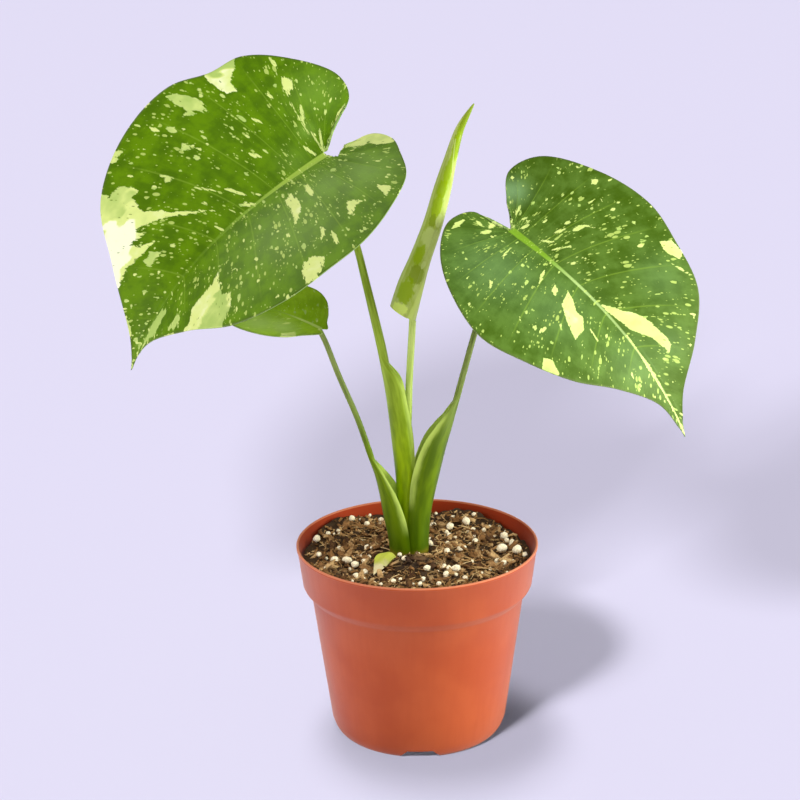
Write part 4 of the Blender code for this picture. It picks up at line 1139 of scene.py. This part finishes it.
def potFinish():
    f = Finish("terracotta plastic")
    place = f.objectPlace()
    streaks = f.clouds(place.times((0.35, 0.35, 0.03)), 1.0, 3.0)
    clouds = f.clouds(place, 0.03, 3.0)
    grain = f.clouds(place, 1.6, 4.0, 0.7)
    dust, draw = f.cells(place, 0.22)
    specks = f.ramp(dust, 0.06, 0.02) * f.ramp(draw, 0.9, 0.94)
    colour = f.mix(f.ramp(clouds, 0.35, 0.65), (182, 76, 32), (192, 86, 40))
    colour = f.mix(f.ramp(streaks, 0.4, 0.75) * 0.2, colour, (176, 70, 32))
    colour = f.mix(specks * 0.35, colour, (150, 70, 45))
    x, y, height = f.parts(place)
    normalX, normalY, _ = f.parts(f.node("ShaderNodeNewGeometry", output="Normal"))
    x, y = x - plant["potAxis"][0], y - plant["potAxis"][1]
    # Inward-facing wall: painted darker and redder as the shade inside the pot, and made rougher
    inside = f.ramp((normalX * x + normalY * y) / (x * x + y * y) ** 0.5, -0.2, -0.6)
    colour = f.mix(inside * 0.85, colour, (160, 44, 6))
    # Painted highlight: a thin light line along the top of the lip
    paintedRimHighlight = f.ramp(height, pot["height"] - 0.9, pot["height"] - 0.5)
    colour = f.mix(paintedRimHighlight * 0.55, colour, (236, 150, 112))
    normal = f.bump(grain + streaks * 0.4, 0.1, 0.15)
    roughness = streaks * 0.1 + grain * 0.08 + inside * 0.4 + 0.34
    return f.surface(colour, roughness, normal, Specular_IOR_Level=0.4, Specular_Tint=(1.0, 0.72, 0.62, 1.0),
                     Sheen_Weight=0.3, Sheen_Roughness=0.35, Sheen_Tint=(1.0, 0.85, 0.7, 1.0))


def addCutter(name, rings):
    mesh = meshFrom(name, np.concatenate(rings), tubeFaces(2, len(rings[0])))
    return newObject(name, cleaned(mesh))


def notchCutter(name, angle):
    foot, top = pot["notchBase"] / 2, pot["notchTop"] / 2
    corners = [(-foot, pot["notchFoot"]), (foot, pot["notchFoot"]),
               (top, pot["notchHeight"]), (-top, pot["notchHeight"])]
    turn = np.array([[math.cos(angle), -math.sin(angle)], [math.sin(angle), math.cos(angle)]])
    return addCutter(name, [[[*(turn @ (reach, across)), z] for across, z in corners]
                            for reach in pot["notchReach"]])


def drainCutter(name, angle):
    ring, radius = pot["drainRing"], pot["drainRadius"]
    x, y = ring * math.cos(angle), ring * math.sin(angle)
    ways = np.linspace(0, math.tau, pot["drainSides"], endpoint=False)
    return addCutter(name, [[(x + radius * math.cos(way), y + radius * math.sin(way), z) for way in ways]
                            for z in pot["drainDepth"]])


def makePot():
    profile = [(r * mm, -z * mm, 0.0) for r, z in potProfile()]
    line = bpy.data.meshes.new("pot")
    line.from_pydata(profile, [(k, k + 1) for k in range(len(profile) - 1)], [])
    piece = newObject("pot_fine", line)
    addTree(piece, *turnedTree(), {"Steps": pot["turnSteps"], "Finish": potFinish()})
    bakeModifiers(piece)
    x, y = plant["potAxis"]
    piece.data.transform(Matrix.Translation((x * mm, y * mm, 0.0)))
    cleaned(piece.data, 0.000004)
    cutters = []
    for k in range(pot["notchCount"]):
        cutters.append(notchCutter(f"notch_{k}", math.radians(-90 + 360 * k / pot["notchCount"])))
    for k in range(pot["drainCount"]):
        cutters.append(drainCutter(f"drain_{k}", math.radians(360 * k / pot["drainCount"])))
    for cutter in cutters:
        cut = piece.modifiers.new(cutter.name, "BOOLEAN")
        cut.operation = "DIFFERENCE"
        cut.object = cutter
    bakeAndJoin(piece, "pot_plastic", "pot")
    for cutter in cutters:
        bpy.data.objects.remove(cutter, do_unlink=True)
    piece.data.shade_smooth()
    piece.data.set_sharp_from_angle(angle=math.radians(pot["sharpAngle"]))
    piece.visible_diffuse = False  # keeps the pot's red off the floor
    print("pot made")


# Potting mix

mix = {
    "gap": 0.4, "edgeHeight": 88.0, "mound": 5.0, "moundSpread": 27.0,
    "sides": 200, "rings": 90, "lumps": 0.7, "seed": 7, "shapes": 5,
    "edge": (2.4, 44.0, 6.0),  # rise along the wall, where it begins and how soon
    "front": (1.2, -20.0, 18.0),  # the same for the front
    "clump": (-1.0, -21.0, 9.0, 8.0, 4.5),  # place, spread each way and height
    # Against the wall: place, spread, height
    "piles": [(-42.0, 38.0, 15.5, 4.0), (27.0, 49.0, 15.5, 4.0)],
    # Ripples: height, then how fast they run and where they start
    "ripples": (0.7, 0.31, 1.1, 0.37, 0.4, 0.5, 0.72, 0.55, 2.0),
    "darkSpot": (3.5, -7.0, 9.0),  # the dark lump of roots behind the scale
    # Large perlite grains: place and width
    "grains": [
        (-50.5, 14.5, 3.8), (-40.6, -11.0, 4.2), (-34.7, -12.0, 4.2), (-30.6, -17.9, 3.8),
        (-26.3, -11.9, 2.4), (-25.6, -26.1, 3.3), (-29.4, -32.0, 1.9), (-25.5, 36.9, 2.8),
        (-33.2, 38.1, 3.3), (-18.3, 44.5, 2.8),
        (-24.1, 48.6, 1.9), (-48.7, -6.1, 2.8), (-45.2, -6.0, 1.9), (-42.1, 22.8, 1.4), (-39.6, 24.1, 1.4),
        (17.4, 32.8, 4.2), (25.7, 34.9, 4.7), (44.4, 18.9, 3.8), (42.3, 0.3, 5.2), (49.5, -4.4, 5.2),
        (14.8, -3.8, 2.8), (8.7, 38.0, 3.3), (6.5, 5.9, 3.3), (2.9, -0.5, 2.4), (4.4, -28.8, 3.3),
        (12.8, -22.9, 2.8), (18.6, -23.7, 4.2), (22.5, -35.5, 2.4), (20.5, -36.5, 1.4), (0.8, -46.2, 2.4),
        (9.8, -44.8, 2.4), (19.2, 42.0, 2.8), (29.5, 15.7, 2.8), (40.6, -19.9, 1.9), (-8.6, -11.0, 2.4),
        (-6.2, -21.7, 2.8), (30.9, -28.9, 1.9), (35.0, -24.7, 1.9), (34.7, 28.7, 2.4), (19.6, 21.4, 1.9),
        (24.1, 6.7, 1.9), (45.3, 25.4, 1.4), (13.5, -30.6, 3.8), (2.1, 14.8, 1.9), (-18.9, -13.2, 1.9),
        (-23.0, 3.9, 1.4), (-27.9, -4.9, 1.4),
    ],
    # Long fibres that lie on top: from and to
    "threads": [
        ((-36, 40), (-28, 30)), ((-29.7, 13.1), (-21.7, 18)), ((-35.9, -1.5), (-30.6, 5.7)),
        ((-32.7, 10.3), (-31, 22)), ((-46.4, 25.1), (-41.9, 11)), ((21, -36.2), (30.2, -23.4)),
        ((30.2, -23.4), (35.7, -12.4)), ((28.6, 41.5), (38, 38)), ((18.4, 33.3), (28.1, 42.1)),
        ((-40.5, 35), (-21.8, 28)), ((-6.8, -37.8), (13, -32.3)), ((43, -13.5), (45.4, -21.2)),
        ((16.8, 15), (22.4, 2.9)), ((28.3, 12), (36.7, 7.8)), ((-20.7, 17.1), (-17.5, 2)),
    ],
}


def mixHeight(x, y):
    cx, cy = plant["crown"]
    far = math.hypot(x - cx, y - cy)
    mound = mix["mound"] * math.exp(-((far / mix["moundSpread"]) ** 2))
    clumpX, clumpY, spreadX, spreadY, rise = mix["clump"]
    clump = rise * math.exp(-(((x - clumpX) / spreadX) ** 2) - (((y - clumpY) / spreadY) ** 2))
    rise, start, width = mix["front"]
    front = rise * (1 - math.tanh((y - start) / width))
    rise, start, width = mix["edge"]
    edge = rise * (1 + math.tanh((math.hypot(x, y) - start) / width)) / 2
    high, a, b, c, d, low, e, g, h = mix["ripples"]
    ripples = high * math.sin(a * x + b) * math.sin(c * y + d) + low * math.sin(e * x - g * y + h)
    for pileX, pileY, spread, height in mix["piles"]:
        mound += height * math.exp(-((x - pileX) ** 2 + (y - pileY) ** 2) / spread**2)
    return mix["edgeHeight"] + mound + clump + front + edge + ripples


def crumble(x, y):
    return mix["lumps"] * noise.fractal(Vector((x * 0.35, y * 0.35, 3.0)), 1.0, 2.0, 4)


def makeGround(finish):
    count = mix["sides"]
    turn = np.linspace(0, math.tau, count, endpoint=False)
    rings, free = [], []

    def addRing(radius, z, x=0.0, y=0.0, reach=1.0):
        rings.append(np.stack([x + radius * np.cos(turn), y + radius * np.sin(turn), 0 * turn + z], 1))
        free.append(0 * turn + reach)

    def inWall(z):
        return potRadius(z) - pot["wall"] - mix["gap"]

    floor = pot["floorTop"]
    addRing(inWall(floor + 0.4) - 1.5, floor + 0.4)
    for z in (floor + 1.9, *pot["shoulder"]):
        addRing(inWall(z), z)
    edge = inWall(mix["edgeHeight"]) - 0.2
    cx, cy = plant["crown"]
    hole = plant["stemMouth"]
    for share in np.linspace(1, 0, mix["rings"]):
        radius = hole + share * (edge - hole)
        x = cx * (1 - share) + radius * np.cos(turn)
        y = cy * (1 - share) + radius * np.sin(turn)
        fade = min(1.0, (1 - share) * 12, share * 12)
        z = [mixHeight(i, j) + crumble(i, j) * fade for i, j in zip(x, y)]
        rings.append(np.stack([x, y, z], 1))
        free.append(0 * turn + (share if share > 0.03 else 1.0))
    addRing(hole, plant["stemHoleFloor"], cx, cy)
    mesh = meshFrom("soil", np.concatenate(rings), tubeFaces(len(rings), count),
                    {"wallward": np.concatenate(free)})
    return addPiece("soil_ground", cleaned(mesh, 0.000001), "potting_mix", [finish], "soil")


def barkFinish(name, dark, mid, light, scale):
    f = Finish(name)
    place = f.objectPlace()
    x, y, _ = f.parts(place)
    middleX, middleY, reach = mix["darkSpot"]
    first, second = (x - middleX) / reach, (y - middleY) / reach
    damp = f.ramp(first * first + second * second + f.clouds(place, 0.15, 3.0), 1.6, 1.1)
    damp = damp.most(f.ramp(f.clouds(place, 0.06, 2.0), 0.58, 0.68) * 0.7)
    wide, fine = f.clouds(place, scale, 4.0, 0.65), f.clouds(place, scale * 5, 3.0, 0.6)
    level = wide * 0.6 + f.attribute("shade") * 0.5
    colour = f.mix(f.ramp(level, 0.32, 0.54), dark, mid)
    colour = f.mix(f.ramp(level, 0.6, 0.8), colour, light)
    colour = f.mix(f.ramp(fine, 0.35, 0.7) * 0.4, colour, dark)
    colour = f.mix(damp * 0.6, colour, (56, 42, 34))
    normal = f.bump(fine + wide * 2.0, 0.6, 0.5)
    return f.surface(colour, 0.85, normal, Specular_IOR_Level=0.25)


def perliteFinish():
    f = Finish("perlite")
    place = f.objectPlace()
    pits = f.clouds(place, 1.4, 4.0, 0.7)
    colour = f.mix(f.ramp(pits, 0.35, 0.65), (232, 206, 168), (255, 244, 216))
    return f.surface(colour, 0.8, f.bump(pits, 0.5, 0.4), Specular_IOR_Level=0.3)


def bitMesh(name, kind, rng):
    work = bmesh.new()
    if kind == "grain":
        bmesh.ops.create_icosphere(work, subdivisions=2, radius=1.0)
        for vert in work.verts:
            vert.co *= 1 + 0.3 * noise.noise(vert.co * 1.3 + Vector((rng.random() * 9, 0, 0)))
            vert.co.z *= 0.85
    elif kind == "chip":
        bmesh.ops.create_cube(work, size=1.0)
        bmesh.ops.subdivide_edges(work, edges=work.edges, cuts=2, use_grid_fill=True)
        shift = Vector((rng.random() * 9, rng.random() * 9, 0))
        for vert in work.verts:
            vert.co += 0.3 * noise.noise_vector(vert.co * 1.6 + shift)
            vert.co.y *= 0.42
            vert.co.z *= 0.2
    else:
        sides, steps = 5, 12
        bend, lean = rng.uniform(-0.5, 0.5), rng.uniform(-0.3, 0.3)
        rings = []
        for k in range(steps + 1):
            t = k / steps - 0.5
            middle = Vector((t, bend * t * t + 0.04 * math.sin(9 * t + lean), lean * t * t))
            width = 0.028 * (1 - 1.6 * abs(t) ** 1.5)
            rings.append([work.verts.new(middle + Vector((0, width * math.cos(a), width * math.sin(a))))
                          for a in (math.tau * s / sides for s in range(sides))])
        for one, two in zip(rings, rings[1:]):
            for s in range(sides):
                n = (s + 1) % sides
                work.faces.new([one[s], one[n], two[n], two[s]])
        work.faces.new(rings[0][::-1])
        work.faces.new(rings[-1])
        bmesh.ops.recalc_face_normals(work, faces=work.faces)
    mesh = bpy.data.meshes.new(name)
    work.to_mesh(mesh)
    work.free()
    mesh.shade_smooth()
    return mesh


def scatterTree():
    kinds = {
        "Ground": "Geometry", "Shapes": "Collection", "Density": "Float", "Smallest": "Float",
        "Largest": "Float", "Tilt": "Float", "Lift": "Float", "Seed": "Int", "Finish": "Material",
        "Limit": "Float",
    }
    g, names, given = newTree("scattered bits", kinds, "Bits")

    def draw(kind, low, high, slots, shift, output):  # a random value for each bit
        inputs = {slots[0]: low, slots[1]: high, "Seed": given["Seed"] + shift if shift else given["Seed"]}
        return g.node("FunctionNodeRandomValue", {"data_type": kind}, inputs, output)

    def vector(*values):
        return g.node("ShaderNodeCombineXYZ", inputs=dict(enumerate(values)))

    wallward = g.node("GeometryNodeInputNamedAttribute", {"data_type": "FLOAT"}, {"Name": "wallward"})
    spots = g.node("GeometryNodeDistributePointsOnFaces", inputs={
        "Mesh": given["Ground"], "Density": given["Density"] * wallward.below(given["Limit"]),
        "Seed": given["Seed"]})
    tilt = given["Tilt"]
    turn = draw("FLOAT_VECTOR", vector(tilt * -1.0, tilt * -1.0, 0.0), vector(tilt, tilt, math.tau),
                (0, 1), 0, 0)
    share = draw("FLOAT", 0.0, 1.0, (2, 3), 5.0, 1)
    size = given["Smallest"] + (given["Largest"] - given["Smallest"]) * share ** 1.8
    shapes = g.node("GeometryNodeCollectionInfo", inputs={
        "Collection": given["Shapes"], "Separate Children": True, "Reset Children": True})
    bits = g.node("GeometryNodeInstanceOnPoints", inputs={
        "Points": spots, "Instance": shapes, "Pick Instance": True, "Rotation": turn,
        "Instance Index": draw("INT", 0, mix["shapes"] - 1, (4, 5), 9.0, 2),
        "Scale": vector(size, size, size)})
    bits = g.node("GeometryNodeTranslateInstances", inputs={
        "Instances": bits, "Translation": vector(0.0, 0.0, given["Lift"] * size), "Local Space": False})
    bits = g.node("GeometryNodeStoreNamedAttribute", {"data_type": "FLOAT", "domain": "INSTANCE"}, {
        "Geometry": bits, "Name": "shade", "Value": draw("FLOAT", 0.0, 1.0, (2, 3), 13.0, 1)})
    bits = g.node("GeometryNodeRealizeInstances", inputs={"Geometry": bits})
    bits = g.node("GeometryNodeSetMaterial", inputs={"Geometry": bits, "Material": given["Finish"]})
    g.node("NodeGroupOutput", inputs={"Bits": bits})
    return g.tree, names


# Kinds of bit: shape, count a square metre, smallest and largest in millimetres, tilt, lift,
# seed, and how far they lie as a share of the way from the stalks to the wall
bitKinds = {
    "crumbs": ("chip", 160000.0, 0.8, 3.0, 1.2, 0.1, 3, 0.985),
    "chips": ("chip", 75000.0, 2.2, 6.8, 0.8, 0.12, 11, 0.93),
    "fibres": ("fibre", 66000.0, 4.0, 12.0, 0.5, 0.07, 23, 0.85),
    "grains": ("grain", 7000.0, 0.8, 1.8, 1.5, 0.4, 31, 0.96),
}


def placeBits(name, finish):  # the large grains and long fibres that show in the picture
    rng = random.Random(mix["seed"])
    points, faces = [], []
    if name == "grains":
        spots = [((x, y), (x, y), width * 0.55) for x, y, width in mix["grains"]]
    else:
        spots = [(start, end, 0.0) for start, end in mix["threads"]]
    for start, end, half in spots:
        kind = "grain" if half else "fibre"
        shape = bitMesh(name, kind, rng)
        middle = (Vector(start) + Vector(end)) / 2
        run = Vector(end) - Vector(start)
        size = half or run.length
        turn = rng.uniform(0, math.tau) if half else math.atan2(run.y, run.x)
        rise = 0.9 * half if half else 1.6
        basis = Matrix.Translation((*middle, mixHeight(*middle) + rise)) @ Matrix.Rotation(turn, 4, "Z")
        basis = basis @ Matrix.Diagonal((size, size * (rng.uniform(0.7, 1.0) if half else 1.4), size, 1))
        first = len(points)
        points += [tuple(basis @ vert.co) for vert in shape.vertices]
        faces += [[first + k for k in face.vertices] for face in shape.polygons]
        bpy.data.meshes.remove(shape)
    addPiece("soil_large_" + name, meshFrom("large " + name, points, faces), "potting_mix", [finish])


def makeMix():
    ground = makeGround(barkFinish("fine mix", (60, 42, 26), (112, 78, 46), (150, 114, 70), 0.4))
    finishes = {
        "crumbs": barkFinish("bark crumbs", (74, 46, 22), (146, 102, 56), (216, 176, 122), 0.25),
        "chips": barkFinish("bark chips", (72, 46, 26), (142, 100, 58), (208, 168, 116), 0.16),
        "fibres": barkFinish("fibres", (132, 94, 54), (192, 152, 98), (230, 198, 146), 0.2),
        "grains": perliteFinish(),
    }
    placeBits("grains", finishes["grains"])
    placeBits("threads", finishes["fibres"])
    tree, names = scatterTree()
    for label, (shape, density, smallest, largest, tilt, lift, seed, limit) in bitKinds.items():
        rng = random.Random(seed)
        group = bpy.data.collections.new(label)
        shapes = [bpy.data.objects.new(f"{label}_{k}", bitMesh(f"{label}_{k}", shape, rng))
                  for k in range(mix["shapes"])]
        for one in shapes:
            group.objects.link(one)
        piece = newObject("soil_" + label, ground.data.copy())
        addTree(piece, tree, names, {
            "Shapes": group, "Density": density, "Smallest": smallest * mm, "Largest": largest * mm,
            "Tilt": tilt, "Lift": lift, "Seed": seed, "Finish": finishes[label], "Limit": limit})
        bakeAndJoin(piece, "potting_mix")
        for one in shapes:
            bpy.data.objects.remove(one, do_unlink=True)
        bpy.data.collections.remove(group)
        print(label, len(piece.data.polygons), "faces")
    print("potting mix made")


# Dried scale

scale = {
    "corners": [(-21.0, -17.5), (-10.5, -16.0), (-21.5, -33.0)],
    "rise": [6.0, 3.4, 2.2], "arch": 1.4, "steps": 24, "thickness": 0.5, "rounding": 2.2,
}


def makeScale():
    corners = np.array(scale["corners"])
    steps = scale["steps"]
    points, share = [], []
    for i in range(steps + 1):
        down = i / steps
        for j in range(steps + 1):
            across = j / steps
            weights = np.array([(1 - down) * (1 - across), (1 - down) * across, down])
            x, y = weights @ corners
            rise = weights @ np.array(scale["rise"]) + scale["arch"] * math.sin(math.pi * across) * (1 - down)
            rise += 0.25 * math.sin(across * 9 + down * 4) * (1 - down)
            y -= scale["rounding"] * (2 * across - 1) ** 4 * (1 - down) ** 3
            points.append((x, y, mixHeight(x, y) + rise))
            share.append(down)
    mesh = meshFrom("scale_leaf", points, gridFaces(steps + 1, steps + 1), {"down": share})
    mesh = cleaned(mesh, 0.00002)
    f = Finish("dried scale")
    place = f.objectPlace()
    patch = f.clouds(place, 0.3, 3.0)
    down = f.attribute("down") + (patch - 0.5) * 0.5
    colour = f.mix(f.ramp(down, 0.25, 0.6), (168, 170, 58), (190, 174, 134))
    colour = f.mix(f.ramp(patch, 0.6, 0.75) * 0.5, colour, (150, 130, 70))
    mesh.materials.append(f.surface(colour, 0.6, f.bump(patch, 0.4, 0.4)))
    mesh.shade_smooth()
    piece = newObject("scale_leaf_fine", mesh)
    addThickness(piece, scale["thickness"], 0.0)
    bakeAndJoin(piece, "dried_scale", "scale_leaf")
    print("dried scale made")


def finishStem():
    f = Finish("stem under the mix")
    rings = f.clouds(f.objectPlace((0.1, 0.1, 0.8)), 1.0, 3.0)
    colour = f.mix(f.ramp(rings, 0.35, 0.65), (120, 96, 50), (150, 130, 76))
    finish = f.surface(colour, 0.7, f.bump(rings, 0.4, 0.4))
    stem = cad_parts["stem_base"]
    for slot in stem.material_slots:
        slot.material = finish
    if not stem.material_slots:
        stem.data.materials.append(finish)


# Stage

def makeFloor():
    size = studio["floorSize"] / 2
    mesh = bpy.data.meshes.new("floor")
    mesh.from_pydata([(-size, -size, 0), (size, -size, 0), (size, size, 0), (-size, size, 0)], [],
                     [(0, 1, 2, 3)])
    f = Finish("paper floor")
    mesh.materials.append(f.surface((*linear(*studio["floorColour"]), 1.0), 0.9, Specular_IOR_Level=0.1))
    floor = bpy.data.objects.new("floor", mesh)
    groundGroup.objects.link(floor)


def lightStage():
    world = bpy.data.worlds.new("studio")
    bpy.context.scene.world = world
    bpy.context.scene.view_settings.view_transform = "Standard"
    world.use_nodes = True
    back = world.node_tree.nodes["Background"]
    back.inputs["Color"].default_value = (*studio["worldColour"], 1.0)
    for name in ("potSun", "topSun", "footSun"):
        addFloorSun(name, potGroup)
    addFloorSun("fillSun", groundGroup)  # casts no shadow
    addNearLamp()
    addSun("plantSun", *studio["plantSun"], pottedPlant)
    addSun("frontSun", *studio["frontSun"], leafGroup)
    addSun("mixSun", *studio["mixSun"], mixGroup, potGroup)
    for name, values in studio["softboxes"].items():
        addSoftbox(name, *values)


placeCamera()
makeFloor()
lightStage()
makePot()
makeMix()
makeStalks()
makeLeaves()
makeNewLeaf()
makeScale()
finishStem()
